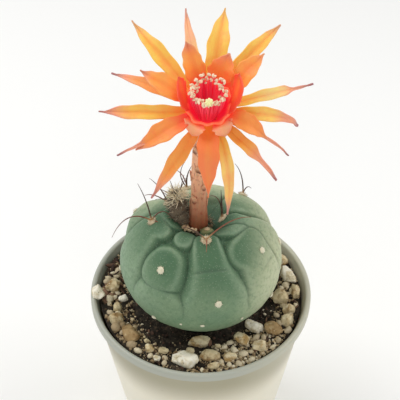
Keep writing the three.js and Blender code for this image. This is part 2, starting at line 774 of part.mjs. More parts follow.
// Stamens: a hollow sheaf of filaments on one low ring, each with its anther, open where the stigma is.
function makeStamens() {
  const [rootRadius, rootHeight] = STAMEN_ROOT;
  const [topRadius, topHeight] = STAMEN_TOP;
  const collar = turned(
    [
      [rootRadius - 0.45, rootHeight - 0.3],
      [rootRadius + 0.25, rootHeight - 0.3],
      [rootRadius + 0.25, rootHeight + 0.4],
      [rootRadius - 0.45, rootHeight + 0.4],
      [rootRadius - 0.45, rootHeight - 0.3],
    ],
    10,
  );
  random(7);
  const parts = [collar];
  for (let i = 0; i < STAMENS; i += 1) {
    const turn = -90 + STIGMA_GAP / 2 + ((360 - STIGMA_GAP) * (i + 0.5)) / STAMENS;
    const reach = topRadius + lerp(-0.35, 0.35, random());
    const level = topHeight + lerp(-0.7, 0.7, random());
    const out = new Vector3(Math.cos(turn * DEGREE), Math.sin(turn * DEGREE), 0);
    const at = (radius, height) => out.clone().multiplyScalar(radius).setZ(height);
    const route = new CatmullRomCurve3([
      at(rootRadius - 0.1, rootHeight),
      at(1.35, -3),
      at(lerp(1.35, reach, 0.55), 2.5),
      at(reach, level),
    ]);
    parts.push(stalk(route, () => FILAMENT_RADIUS, 3, 3));
    const anther = new THREE.IcosahedronGeometry(1, 0).scale(...ANTHER_SIZE);
    anther.rotateZ(turn * DEGREE + lerp(0.9, 2.2, random()));
    const tip = at(reach, level + 0.2);
    parts.push(solidFrom(anther.translate(tip.x, tip.y, tip.z)));
  }
  return joined(parts);
}

// Style: a slender stalk up the middle of the stamens, with its lobed stigma at their front edge.
function makeStyle() {
  const top = new Vector3(...STIGMA_AT);
  const route = new CatmullRomCurve3([
    new Vector3(0, 0, STYLE_ROOT),
    new Vector3(0, 0, -3),
    new Vector3(0, -0.9, 3.5),
    top.clone().add(new Vector3(0, 0, -0.4)),
  ]);
  const lobes = Array.from({ length: STIGMA_LOBES }, (_, i) => {
    const angle = (2 * Math.PI * i) / STIGMA_LOBES;
    const tip = top.clone().add(new Vector3(0.75 * Math.cos(angle), 0.6 * Math.sin(angle), 0.75));
    return stalk(new THREE.LineCurve3(top.clone().setZ(top.z - 0.5), tip), (t) => 0.2 + 0.16 * t, 4, 1);
  });
  return joined([stalk(route, () => STYLE_RADIUS, 5, 5), ...lobes]);
}

// The withered bud's shrunken body, grown by a given clearance.
function budCore(clearance = 0) {
  const radiusAt = (t) => (t < 1 ? BUD_RADIUS * Math.sin(Math.PI * (0.3 + 0.7 * t)) ** 0.7 + clearance : 0);
  const foot = BUD_FOOT.clone().setZ(BUD_FOOT.z - 3 * clearance);
  return stalk(new THREE.LineCurve3(foot, BUD_TOP), radiusAt, 9, 6);
}

// Withered bud: its body under a tuft of wool, with a few short spines.
function makeBud(keepClear) {
  const along = BUD_TOP.clone().sub(BUD_FOOT);
  random(11);
  const tufts = Array.from({ length: BUD_TUFTS }, (_, i) => {
    const angle = i * 137.5 * DEGREE;
    const climb = Math.sqrt((i + 0.5) / BUD_TUFTS);
    const root = BUD_FOOT.clone().addScaledVector(along, lerp(0.8, 0.35, climb));
    const out = new Vector3(Math.cos(angle), Math.sin(angle), 0).multiplyScalar(BUD_RADIUS * climb);
    const length = lerp(0.85, 1.2, random());
    const [reach, rise] = TUFT_REACH;
    const tip = root.clone().addScaledVector(out, reach * length).add(new Vector3(-0.4, 0.2, rise * length));
    return spike(root.clone().addScaledVector(out, 0.4), tip, TUFT_RADIUS);
  });
  const spines = BUD_SPINES.map(([climb, ...reach]) => {
    const root = BUD_FOOT.clone().addScaledVector(along, climb);
    const way = new Vector3(...reach);
    return spike(root, root.clone().add(way.setLength(way.length() + 0.8 * BUD_RADIUS)), 0.3);
  });
  return largest(joined([budCore(), ...tufts, ...spines]).subtract(keepClear));
}

// Young wool round the foot of the tube, kept clear of the tube, the stem and the bud.
function makeCrownWool(keepClear) {
  const [x, y] = TUBE_FOOT[0];
  random(5);
  const parts = Array.from({ length: CROWN_WOOL_LUMPS }, (_, i) => {
    const turn = lerp(...CROWN_WOOL_TURNS, i / (CROWN_WOOL_LUMPS - 1));
    const lump = new THREE.IcosahedronGeometry(WOOL_LUMP, 0).scale(1, 1, lerp(0.8, 1.1, random()));
    const at = around(turn, CROWN_WOOL_RADIUS, CROWN_WOOL_LEVEL);
    return solidFrom(lump.translate(at.x + x, at.y + y, at.z));
  });
  return largest(joined(parts).subtract(keepClear));
}

// A weathered stone: an uneven rounded block, grown all round by a given clearance.
function makeStone({ size, turn, centre, seed }, clearance = 0) {
  const stone = new THREE.IcosahedronGeometry(1, size[0] > 3.9 ? 1 : 0);
  stone.deleteAttribute("normal");
  stone.deleteAttribute("uv");
  const merged = mergeVertices(stone);
  const corners = merged.getAttribute("position");
  random(seed);
  const corner = new Vector3();
  for (let i = 0; i < corners.count; i += 1) {
    corner.fromBufferAttribute(corners, i);
    const power = Math.abs(corner.x) ** 3 + Math.abs(corner.y) ** 3 + Math.abs(corner.z) ** 3;
    const reach = power ** (-1 / 3) * lerp(0.84, 1.04, random());
    corners.setXYZ(i, ...corner.multiplyScalar(reach).toArray());
  }
  merged.scale(...size.map((side) => side / 2 + clearance));
  merged.rotateZ(turn * DEGREE);
  return solidFrom(merged.translate(centre.x, centre.y, centre.z));
}

// The stones of the dressing, each with its place on the soil.
function stonePlaces() {
  const places = STONES.map(([turn, distance, length, width, height, spin, tone], i) => {
    const centre = around(turn, distance, soilFace(turn, distance) + height * (0.5 - STONE_SUNK));
    return { size: [length, width, height], turn: spin, centre, seed: i + 1, tone };
  });
  const { turn, distance, size, spin, sunk, tone } = LIP_STONE;
  const level = size[2] / 2 - sunk;
  return [...places, { size, turn: spin, centre: around(turn, distance, level), seed: 91, tone }];
}

const potted = new THREE.Group();
potted.add(piece("pot", makePot(), COLOURS.pot, 0.45));

const plant = new THREE.Group();
plant.position.z = POT_HEIGHT;
potted.add(plant);

const stones = stonePlaces();
const tubeSpace = tubeRoom();
const crownSpace = makeStem(CROWN_SEAT).add(tubeSpace);
const bud = makeBud(crownSpace);
const wool = makeCrownWool(crownSpace.add(budCore(SEAT)));
const stem = makeStem().subtract(tubeSpace);
const soil = makeSoil(makeStem(SEAT), stones.map((stone) => makeStone(stone, SEAT)));

plant.add(piece("soil", soil, COLOURS.soil, 0.95));
plant.add(piece("cactus_body", stem, COLOURS.stem, 0.75));
plant.add(piece("woolly_bud", bud, COLOURS.bud, 0.95));
plant.add(piece("crown_wool", wool, COLOURS.wool, 0.95));
plant.add(piece("flower_tube", makeTube(), COLOURS.tube, 0.7));
for (const [name, areole] of Object.entries(SPINY_AREOLES)) {
  plant.add(piece(name, makeSpines(areole), COLOURS.spines, 0.7));
}
stones.forEach((stone, i) => {
  const name = "stone_" + String(i + 1).padStart(2, "0");
  plant.add(piece(name, makeStone(stone), COLOURS[stone.tone], 0.9));
});

const flower = placeFlower(new THREE.Group());
plant.add(flower);
flower.add(piece("perianth", makePerianth(), COLOURS.tepals, 0.5));
flower.add(piece("stamens", makeStamens(), COLOURS.stamens, 0.6));
flower.add(piece("style", makeStyle(), COLOURS.style, 0.6));

export default potted;
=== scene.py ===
"""Potted matucana in bloom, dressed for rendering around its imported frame.

A low grey-green cactus with one orange flower stands in a small white nursery pot, in dark soil with
a top dressing of pumice gravel. Sizes are in millimetres, and heights on the plant are measured from
the pot's rim, as on a potting bench. Meshes are written in metres, in the frame's own place.
"""

import json
import logging
import math
import random
from collections.abc import Callable, Sequence
from dataclasses import dataclass, field
from enum import Enum

import bpy
import numpy as np
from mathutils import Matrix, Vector, noise

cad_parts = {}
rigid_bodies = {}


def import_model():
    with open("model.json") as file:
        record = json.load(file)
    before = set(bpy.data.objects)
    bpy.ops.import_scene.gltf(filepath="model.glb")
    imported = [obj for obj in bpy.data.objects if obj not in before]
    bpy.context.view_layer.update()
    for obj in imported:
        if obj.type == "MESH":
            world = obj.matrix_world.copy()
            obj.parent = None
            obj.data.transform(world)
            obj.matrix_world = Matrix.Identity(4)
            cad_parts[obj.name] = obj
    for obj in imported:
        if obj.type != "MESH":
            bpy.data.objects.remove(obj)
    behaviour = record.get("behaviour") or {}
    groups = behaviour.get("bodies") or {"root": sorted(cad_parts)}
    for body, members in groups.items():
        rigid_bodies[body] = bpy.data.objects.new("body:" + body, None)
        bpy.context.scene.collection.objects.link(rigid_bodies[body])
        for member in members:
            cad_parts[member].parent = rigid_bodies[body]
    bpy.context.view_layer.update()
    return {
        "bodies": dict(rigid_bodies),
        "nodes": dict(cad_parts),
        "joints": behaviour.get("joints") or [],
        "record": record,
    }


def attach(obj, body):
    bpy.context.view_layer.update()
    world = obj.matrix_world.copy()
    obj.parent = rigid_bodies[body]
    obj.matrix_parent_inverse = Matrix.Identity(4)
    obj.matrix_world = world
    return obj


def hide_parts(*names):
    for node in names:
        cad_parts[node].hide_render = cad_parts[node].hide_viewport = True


LOG = logging.getLogger("potted_matucana")
BODY = "root"
MM = 0.001
RIM_HEIGHT = 50.0
CURVE_STEPS = 24
Points = np.ndarray
Triple = tuple[float, float, float]
Knot = tuple[float, float, float, float]


class Slot(Enum):
    """The record's material slots."""

    POT = "pot_plastic"
    SOIL = "potting_soil"
    STEM = "stem_skin"
    SPINE = "spine"
    WOOL = "wool"
    TUBE = "tube_skin"
    TEPAL = "tepal"
    STAMEN = "stamen"
    STIGMA = "stigma"
    TAN = "stone_tan"
    BROWN = "stone_brown"
    CREAM = "stone_cream"
    WHITE = "stone_white"


def linear(code: str) -> tuple[float, float, float, float]:
    """Turns a display colour into the linear one that shaders use.

    Args:
        code: Six hexadecimal digits, red first.

    Returns:
        Linear red, green and blue, and an alpha of one.
    """
    parts = [int(code[i : i + 2], 16) / 255 for i in (0, 2, 4)]
    red, green, blue = (c / 12.92 if c <= 0.04045 else ((c + 0.055) / 1.055) ** 2.4 for c in parts)
    return (red, green, blue, 1.0)


def smooth(value: Points | float, low: float, high: float) -> Points:
    """Rises smoothly from 0 at low to 1 at high."""
    t = np.clip((np.asarray(value, float) - low) / (high - low), 0.0, 1.0)
    return t * t * (3 - 2 * t)


def unit(points: Points) -> Points:
    """Gives rows their length of one."""
    return points / np.maximum(np.linalg.norm(points, axis=-1, keepdims=True), 1e-9)


def around(turn: Points | float, radius: Points | float, height: Points | float) -> Points:
    """Places points round the pot's axis, with turns in degrees from the front and positive to the right."""
    angle = np.radians(turn)
    return np.stack(np.broadcast_arrays(radius * np.sin(angle), -radius * np.cos(angle), height), -1)


def rough(points: Points, grain: float, octaves: int = 4, seed: float = 0.0) -> Points:
    """Reads fractal noise of about -1 to 1, with lumps as large as grain and a seed that moves them."""
    return np.array([noise.fractal(Vector(p), 0.9, 2.1, octaves) for p in points / grain + seed])


def route_through(stops: Sequence[Sequence[float]], count: int) -> Points:
    """Runs a centripetal Catmull-Rom curve through stops, with points evenly along it.

    Args:
        stops: Points on the curve.
        count: Number of points wanted.

    Returns:
        The points, first and last stop included.
    """
    knots = [np.asarray(p, float) for p in stops]
    knots = [2 * knots[0] - knots[1], *knots, 2 * knots[-1] - knots[-2]]
    dense = []
    for a, b, c, d in zip(knots, knots[1:], knots[2:], knots[3:]):
        gaps = [max(float(np.linalg.norm(q - p)), 1e-6) ** 0.5 for p, q in ((a, b), (b, c), (c, d))]
        t1, t2, t3 = np.cumsum(gaps)
        t = np.linspace(t1, t2, CURVE_STEPS, endpoint=False)[:, None]
        ab = (t1 - t) / t1 * a + t / t1 * b
        bc = (t2 - t) / (t2 - t1) * b + (t - t1) / (t2 - t1) * c
        cd = (t3 - t) / (t3 - t2) * c + (t - t2) / (t3 - t2) * d
        abc = (t2 - t) / t2 * ab + t / t2 * bc
        bcd = (t3 - t) / (t3 - t1) * bc + (t - t1) / (t3 - t1) * cd
        dense.append((t2 - t) / (t2 - t1) * abc + (t - t1) / (t2 - t1) * bcd)
    line = np.vstack([*dense, knots[-2][None]])
    steps = np.concatenate([[0.0], np.cumsum(np.linalg.norm(np.diff(line, axis=0), axis=1))])
    wanted = np.linspace(0, steps[-1], count)
    return np.stack([np.interp(wanted, steps, line[:, i]) for i in range(3)], -1)


def bend(root: Points, half: Points, tip: Points, count: int) -> Points:
    """Runs an arc from a root through a half-way point to a tip.

    Args:
        root: First point.
        half: Point at the middle of the arc.
        tip: Last point.
        count: Number of points wanted.

    Returns:
        The points.
    """
    t = np.linspace(0, 1, count)[:, None]
    pull = 2 * half - (root + tip) / 2
    return (1 - t) ** 2 * root + 2 * t * (1 - t) * pull + t * t * tip


def hair(root: Points, lean: Points, curl: Points, length: float, count: int) -> Points:
    """Runs a short hair from its root, first in the direction lean and then in the direction curl."""
    return bend(root, root + lean * length * 0.5, root + (lean + curl) * length * 0.5, count)


def ringed(middle: Points, side: Points, other: Points, angle: Points, radius: Points) -> Points:
    """Places points round middles, at angles in radians from side towards other."""
    return middle + side * (np.cos(angle) * radius)[:, None] + other * (np.sin(angle) * radius)[:, None]


def jitter(draw: random.Random, spread: float = 1.0) -> Points:
    """Draws a random vector, each part of it about as large as spread."""
    return np.array([draw.gauss(0, spread) for _ in range(3)])


def deselect() -> None:
    """Goes back to object mode with nothing selected."""
    if bpy.context.object and bpy.context.object.mode != "OBJECT":
        bpy.ops.object.mode_set(mode="OBJECT")
    bpy.ops.object.select_all(action="DESELECT")


def pick(thing: bpy.types.Object) -> None:
    """Selects one object alone.

    Args:
        thing: What is selected and made active.
    """
    deselect()
    thing.select_set(True)
    bpy.context.view_layer.objects.active = thing


def add(primitive: Callable, **sizes: object) -> bpy.types.Object:
    """Adds a primitive with nothing else selected.

    Args:
        primitive: One of Blender's adding operators.
        sizes: Its settings, in metres.

    Returns:
        The new object.
    """
    deselect()
    primitive(**sizes)
    return bpy.context.object


def corners(thing: bpy.types.Object) -> Points:
    """Reads a mesh's vertices.

    Args:
        thing: Mesh object.

    Returns:
        One row for each vertex, in millimetres.
    """
    flat = np.empty(len(thing.data.vertices) * 3)
    thing.data.vertices.foreach_get("co", flat)
    return flat.reshape(-1, 3) / MM


def reshape(thing: bpy.types.Object, points: Points) -> None:
    """Moves a mesh's vertices to points in millimetres."""
    thing.data.vertices.foreach_set("co", (points * MM).ravel())
    thing.data.update()


def planted(points: Points) -> Points:
    """Lifts points from heights over the rim to heights over the ground."""
    return points + np.array([0, 0, RIM_HEIGHT])


def finish_with(thing: bpy.types.Object, kind: str, **settings: object) -> None:
    """Adds a modifier and applies it.

    Args:
        thing: Mesh object.
        kind: The modifier's type.
        settings: Its properties.
    """
    pick(thing)
    modifier = thing.modifiers.new(kind.lower(), kind)
    for name, value in settings.items():
        setattr(modifier, name, value)
    bpy.ops.object.modifier_apply(modifier=modifier.name)


def closed(thing: bpy.types.Object) -> None:
    """Merges a mesh's doubles and turns its faces outwards.

    Args:
        thing: Mesh object.
    """
    pick(thing)
    bpy.ops.object.mode_set(mode="EDIT")
    bpy.ops.mesh.select_all(action="SELECT")
    bpy.ops.mesh.remove_doubles(threshold=0.002 * MM)
    bpy.ops.mesh.normals_make_consistent(inside=False)
    bpy.ops.object.mode_set(mode="OBJECT")


def joined(things: Sequence[bpy.types.Object]) -> bpy.types.Object:
    """Joins objects into the first.

    Args:
        things: Mesh objects.

    Returns:
        The first, with all their meshes in it.
    """
    deselect()
    for thing in things:
        thing.select_set(True)
    bpy.context.view_layer.objects.active = things[0]
    bpy.ops.object.join()
    return things[0]


def paint(thing: bpy.types.Object, name: str, values: Points | float) -> None:
    """Writes one number for each vertex.

    Args:
        thing: Mesh object.
        name: Name that its material reads.
        values: A number, or one for each vertex.
    """
    layer = thing.data.attributes.get(name) or thing.data.attributes.new(name, "FLOAT", "POINT")
    spread = np.broadcast_to(values, len(thing.data.vertices)).astype(np.float32)
    layer.data.foreach_set("value", spread.ravel())


def skin(across: int, along: int, form: Callable[[Points, Points], Points]) -> bpy.types.Object:
    """Lays a grid over a formula's surface.

    Args:
        across: Number of faces one way.
        along: Number of faces the other way.
        form: Gives points for places across and along, both from 0 to 1.

    Returns:
        The mesh object.
    """
    thing = add(bpy.ops.mesh.primitive_grid_add, x_subdivisions=across, y_subdivisions=along, size=1.0)
    flat = np.clip(corners(thing) * MM + 0.5, 0, 1)
    reshape(thing, form(flat[:, 0], flat[:, 1]))
    return thing


def lump(size: Triple, detail: int, grain: float, depth: float, seed: float) -> bpy.types.Object:
    """Models one uneven lump.

    Args:
        size: Its length, width and height.
        detail: Number of subdivisions.
        grain: Size of its bumps.
        depth: Depth of its bumps.
        seed: Makes it differ from others.

    Returns:
        The mesh object, at the origin.
    """
    thing = add(bpy.ops.mesh.primitive_ico_sphere_add, subdivisions=detail, radius=MM)
    ball = corners(thing)
    points = ball * np.array(size) / 2
    reshape(thing, points + ball * rough(points, grain, 3, seed)[:, None] * depth)
    return thing


def meshed(name: str, points: Points, faces: list[list[int]]) -> bpy.types.Object:
    """Makes an object of points and faces.

    Args:
        name: The object's name for now.
        points: Its vertices in millimetres.
        faces: The vertices of each face.

    Returns:
        The mesh object.
    """
    mesh = bpy.data.meshes.new(name)
    mesh.from_pydata((points * MM).tolist(), [], faces)
    thing = bpy.data.objects.new(name, mesh)
    bpy.context.collection.objects.link(thing)
    return thing


def strew(
    shape: bpy.types.Object, places: Points, axes: Sequence[Points], tones: Sequence[float]
) -> bpy.types.Object:
    """Copies a shape to many places in one mesh.

    Args:
        shape: What is copied, and then removed.
        places: Middle of each copy, with heights over the rim.
        axes: Three rows for each copy, the directions of its x, y and z with their scales.
        tones: A number for each copy, which its material reads as tone.

    Returns:
        The mesh object.
    """
    model = corners(shape)
    faces = np.array([list(p.vertices) for p in shape.data.polygons])
    points = np.einsum("vi,cij->cvj", model, np.array(axes)) + planted(places)[:, None]
    starts = np.arange(len(places))[:, None, None] * len(model)
    thing = meshed("strewn", points.reshape(-1, 3), (faces + starts).reshape(-1, faces.shape[1]).tolist())
    bpy.data.objects.remove(shape)
    paint(thing, "tone", np.repeat(tones, len(model)))
    return thing


def tumbled(draw: random.Random, scale: Triple | float) -> Points:
    """Turns a copy at random: its three rows for strew, with their scale."""
    frame, _ = np.linalg.qr(np.array([jitter(draw) for _ in range(3)]))
    return frame * np.broadcast_to(scale, 3)[:, None]


def strands(
    routes: Sequence[Points], girth: tuple[float, float] | Points, tones: Sequence[float], sides: int
) -> bpy.types.Object:
    """Makes round strands along routes, such as hairs, spines and filaments.

    Args:
        routes: Points of each strand, the same number for all, with heights over the rim.
        girth: Radius at root and tip, or one row of radii for each strand.
        tones: A number for each strand, which its material reads as tone.
        sides: Number of sides.

    Returns:
        The mesh object, whose material can also read along, from 0 at the root to 1 at the tip.
    """
    routes = planted(np.array(routes))
    count, steps, _ = routes.shape
    if isinstance(girth, tuple):
        root, tip = girth
        girth = np.tile(root + (tip - root) * np.linspace(0, 1, steps), (count, 1))
    heads = unit(np.gradient(routes, axis=1))
    side = unit(np.cross(heads[:, 0], np.where(np.abs(heads[:, 0, 2:]) < 0.8, [[0, 0, 1]], [[1, 0, 0]])))
    rings = []
    angle = np.linspace(0, 2 * np.pi, sides, endpoint=False)[None, :, None]
    for i in range(steps):
        side = unit(side - heads[:, i] * np.sum(side * heads[:, i], -1, keepdims=True))
        other = np.cross(heads[:, i], side)
        spokes = np.cos(angle) * side[:, None] + np.sin(angle) * other[:, None]
        rings.append(routes[:, i, None] + spokes * girth[:, i, None, None])
    points = np.stack(rings, 1).reshape(-1, 3)
    ring = np.arange(sides)
    low = np.arange(steps - 1)[:, None] * sides + ring
    wall = np.stack([low, np.roll(low, -1, 1), np.roll(low, -1, 1) + sides, low + sides], -1).reshape(-1, 4)
    faces = []
    for k in range(count):
        start = k * steps * sides
        faces += (wall + start).tolist()
        faces += [(ring[::-1] + start).tolist(), (ring + start + (steps - 1) * sides).tolist()]
    thing = meshed("strands", points, faces)
    paint(thing, "tone", np.repeat(tones, steps * sides))
    paint(thing, "along", np.tile(np.repeat(np.linspace(0, 1, steps), sides), count))
    return thing


def settle(
    thing: bpy.types.Object,
    name: str,
    material: bpy.types.Material,
    replaced: Sequence[str] = (),
) -> None:
    """Ends a piece: names it, dresses it and ties it to the frame.

    Args:
        thing: Mesh object.
        name: The piece's name.
        material: Its finish.
        replaced: Frame nodes that it stands for.
    """
    thing.name = thing.data.name = name
    thing.data.materials.clear()
    thing.data.materials.append(material)
    pick(thing)
    bpy.ops.object.shade_smooth()
    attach(thing, BODY)
    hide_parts(*replaced)
    LOG.info("%s: %d faces", name, len(thing.data.polygons))


class Wire:
    """A node's output, on which shader maths is written as an expression."""

    def __init__(self, tree: "Tree", socket: bpy.types.NodeSocket | None) -> None:
        """Wraps an output."""
        self.tree = tree
        self.socket = socket

    def _maths(self, operation: str, first: object, second: object) -> "Wire":
        """Adds one Math node."""
        return self.tree.add("ShaderNodeMath", {"operation": operation}, {0: first, 1: second})

    def __add__(self, other: object) -> "Wire":
        """Sum."""
        return self._maths("ADD", self, other)

    def __radd__(self, other: object) -> "Wire":
        """Sum with a number on the left."""
        return self._maths("ADD", other, self)

    def __sub__(self, other: object) -> "Wire":
        """Difference."""
        return self._maths("SUBTRACT", self, other)

    def __rsub__(self, other: object) -> "Wire":
        """Difference with a number on the left."""
        return self._maths("SUBTRACT", other, self)

    def __mul__(self, other: object) -> "Wire":
        """Product."""
        return self._maths("MULTIPLY", self, other)

    def __rmul__(self, other: object) -> "Wire":
        """Product with a number on the left."""
        return self._maths("MULTIPLY", other, self)

    def __abs__(self) -> "Wire":
        """Size without its sign."""
        return self._maths("ABSOLUTE", self, 0.0)

    def between(self, low: float, high: float) -> "Wire":
        """Rises smoothly from 0 at low to 1 at high."""
        limits = {"Value": self, "From Min": low, "From Max": high}
        return self.tree.add("ShaderNodeMapRange", {"interpolation_type": "SMOOTHSTEP"}, limits)


class Tree:
    """The nodes of one material."""

    def __init__(self, name: str) -> None:
        """Starts an empty material.

        Args:
            name: The material's name.
        """
        self.material = bpy.data.materials.new(name)
        self.material.use_nodes = True
        self.nodes = self.material.node_tree.nodes
        self.nodes.clear()

    def add(
        self, kind: str, settings: dict | None = None, inputs: dict | None = None, out: int | str = 0
    ) -> Wire:
        """Adds a node of any kind.

        Args:
            kind: The node's type.
            settings: Properties, set first; stops fills a colour ramp.
            inputs: Values or wires for its sockets, by name or number.
            out: Name or number of the output wanted.

        Returns:
            That output, or a wire with no socket where the node has none.
        """
        node = self.nodes.new(kind)
        for name, value in (settings or {}).items():
            if name == "stops":
                while len(node.color_ramp.elements) < len(value):
                    node.color_ramp.elements.new(0.5)
                for element, (place, colour) in zip(node.color_ramp.elements, value):
                    element.position = place
                    element.color = colour
            else:
                setattr(node, name, value)
        for name, value in (inputs or {}).items():
            if isinstance(value, Wire):
                self.material.node_tree.links.new(value.socket, node.inputs[name])
            else:
                node.inputs[name].default_value = value
        return Wire(self, node.outputs[out] if len(node.outputs) else None)

    def place(self) -> Wire:
        """Place on the object, in metres."""
        return self.add("ShaderNodeTexCoord", out="Object")

    def chart(self) -> Wire:
        """Place on a grid's surface from 0 to 1: X is across and Y is along."""
        return self.add("ShaderNodeUVMap", {"uv_map": "UVMap"})

    def part(self, vector: Wire, axis: str) -> Wire:
        """One part of a vector."""
        return self.add("ShaderNodeSeparateXYZ", None, {0: vector}, axis)

    def height(self) -> Wire:
        """Height over the ground, in metres."""
        return self.part(self.place(), "Z")

    def across(self) -> Wire:
        """Distance to the right of the pot's axis, in metres."""
        return self.part(self.place(), "X")

    def grid(self, axis: str) -> Wire:
        """One part of the place on a grid's surface."""
        return self.part(self.chart(), axis)

    def painted(self, name: str) -> Wire:
        """The number that paint wrote under a name."""
        return self.add("ShaderNodeAttribute", {"attribute_name": name}, None, "Fac")

    def speckle(self, grain: float, detail: float = 4.0, roughness: float = 0.55) -> Wire:
        """Adds noise.

        Args:
            grain: Size of the largest lumps in millimetres.
            detail: Number of finer layers.
            roughness: Strength of the finer layers.

        Returns:
            Noise from 0 to 1.
        """
        inputs = {"Vector": self.place(), "Scale": 1 / (grain * MM)}
        inputs |= {"Detail": detail, "Roughness": roughness}
        return self.add("ShaderNodeTexNoise", None, inputs)

    def streaks(self, scale: Triple) -> Wire:
        """Noise from 0 to 1 on a grid's surface, scaled across, along and through."""
        spread = self.add("ShaderNodeVectorMath", {"operation": "MULTIPLY"}, {0: self.chart(), 1: scale})
        return self.add("ShaderNodeTexNoise", None, {"Vector": spread, "Scale": 1.0, "Detail": 3.0})

    def cells(self, size: float) -> Wire:
        """Distance from the middles of a cell pattern whose cells have a size in millimetres."""
        return self.add("ShaderNodeTexVoronoi", None, {"Vector": self.place(), "Scale": 1 / (size * MM)})

    def mix(self, factor: object, first: object, second: object) -> Wire:
        """Mixes two colours.

        Args:
            factor: Share of the second.
            first: A hexadecimal colour or a wire.
            second: A hexadecimal colour or a wire.

        Returns:
            The mixed colour.
        """
        first, second = (linear(c) if isinstance(c, str) else c for c in (first, second))
        settings = {"data_type": "RGBA", "clamp_factor": True}
        return self.add("ShaderNodeMix", settings, {0: factor, 6: first, 7: second}, 2)

    def tint(self, colour: Wire, *layers: tuple[str, float, str]) -> Wire:
        """Lays painted tints over a colour, one after another.

        Args:
            colour: The colour under them.
            layers: For each tint its painted name, its strength and its colour.

        Returns:
            The colour with its tints.
        """
        for name, strength, code in layers:
            colour = self.mix(self.painted(name) * strength, colour, code)
        return colour

    def ramp(self, value: Wire, *stops: tuple[float, str]) -> Wire:
        """Turns a value into a colour, between stops of a place and a hexadecimal colour."""
        pairs = [(place, linear(code)) for place, code in stops]
        return self.add("ShaderNodeValToRGB", {"stops": pairs}, {"Fac": value})

    def bump(self, height: Wire, depth: float) -> Wire:
        """Turns a height from 0 to 1 into a bumped normal, with its depth in millimetres."""
        return self.add("ShaderNodeBump", None, {"Height": height, "Distance": depth * MM, "Strength": 1.0})

    def surface(self, **sockets: object) -> bpy.types.Material:
        """Ends the material in one Principled shader.

        Args:
            sockets: Its inputs, with underscores for spaces.

        Returns:
            The finished material.
        """
        inputs = {name.replace("_", " "): value for name, value in sockets.items()}
        shader = self.add("ShaderNodeBsdfPrincipled", None, inputs)
        self.add("ShaderNodeOutputMaterial", None, {"Surface": shader})
        return self.material


@dataclass(frozen=True)
class PotPlastic:
    """Thin off-white moulded plastic with a faint satin: a cooler grey lip as painted shade, a darker collar
    under it as a painted shadow, and a warm wall below whose warmth is partly painted light.
    """

    # the lip colour is painted shade on the rim, and the collar colour a painted shadow under it; the wall
    # is the plastic's off-white, its warmth partly painted light
    lip: str = "AAADA1"
    collar_shadow: str = "A09A7F"
    wall: str = "E9E3CF"
    # east is painted light on the right side at collar height; the same colour also tints a faint random
    # mottle
    east: str = "C2BFA8"
    stain: str = "8C8473"
    collar_shadow_band: tuple[float, float] = (0.03, 0.0445)
    lip_shade_band: tuple[float, float] = (0.047, 0.0485)
    right_light_band: tuple[float, float] = (0.036, 0.045)

    def material(self) -> bpy.types.Material:
        """Builds the material.

        Returns:
            The finished material.
        """
        tree = Tree("pot_plastic")
        height = tree.height()
        # painted shadow on the collar band, then painted shade on the lip
        colour = tree.mix(height.between(*self.collar_shadow_band), self.wall, self.collar_shadow)
        colour = tree.mix(height.between(*self.lip_shade_band), colour, self.lip)
        # painted light on the right side, lifting the collar's painted shadow there
        east = tree.across().between(0.004, 0.024) * height.between(*self.right_light_band)
        colour = tree.mix(east * 0.6, colour, self.east)
        colour = tree.mix(tree.speckle(14.0, 3.0).between(0.35, 0.7) * 0.08, colour, self.east)
        scuffs = tree.speckle(2.2, 6.0, 0.7).between(0.62, 0.74)
        colour = tree.mix(scuffs * 0.14, colour, self.stain)
        grain = tree.speckle(0.6, 2.0)
        return tree.surface(
            Base_Color=colour,
            Roughness=0.38 + 0.18 * scuffs,
            Normal=tree.bump(grain, 0.012),
            Subsurface_Weight=0.25,
            Subsurface_Radius=(1.0, 0.8, 0.6),
            Subsurface_Scale=1.2 * MM,
        )


@dataclass(frozen=True)
class PottingMix:
    """Dark peaty mix with brown fibre and pale mineral dust."""

    dark: str = "1A1713"
    middle: str = "3A332A"
    fibre: str = "6E5C48"
    dust: str = "B3A283"

    def material(self) -> bpy.types.Material:
        """Builds the material.

        Returns:
            The finished material.
        """
        tree = Tree("potting_mix")
        broad = tree.speckle(1.8, 6.0, 0.75)
        colour = tree.ramp(broad, (0.34, self.dark), (0.56, self.middle), (0.76, self.fibre))
        dust = (1 - tree.cells(0.5).between(0.08, 0.28)) * tree.speckle(3.1, 2.0).between(0.46, 0.6)
        colour = tree.mix(dust * 0.75, colour, self.dust)
        crumb = tree.speckle(0.7, 5.0, 0.65)
        bumps = tree.bump(crumb, 0.35)
        return tree.surface(Base_Color=colour, Roughness=0.93, Normal=bumps, Specular_IOR_Level=0.25)


@dataclass(frozen=True)
class Crumbs:
    """Loose bits of one kind, each with its own tone between two colours."""

    name: str
    deep: str
    light: str
    grain: float = 0.5
    depth: float = 0.08

    def material(self) -> bpy.types.Material:
        """Builds the material.

        Returns:
            The finished material.
        """
        tree = Tree(self.name)
        mottle = tree.speckle(self.grain, 5.0, 0.7)
        colour = tree.mix(tree.painted("tone"), self.deep, self.light)
        colour = tree.mix(mottle.between(0.5, 0.75) * 0.45, colour, self.deep)
        bumps = tree.bump(mottle, self.depth)
        return tree.surface(Base_Color=colour, Roughness=0.9, Normal=bumps, Specular_IOR_Level=0.3)


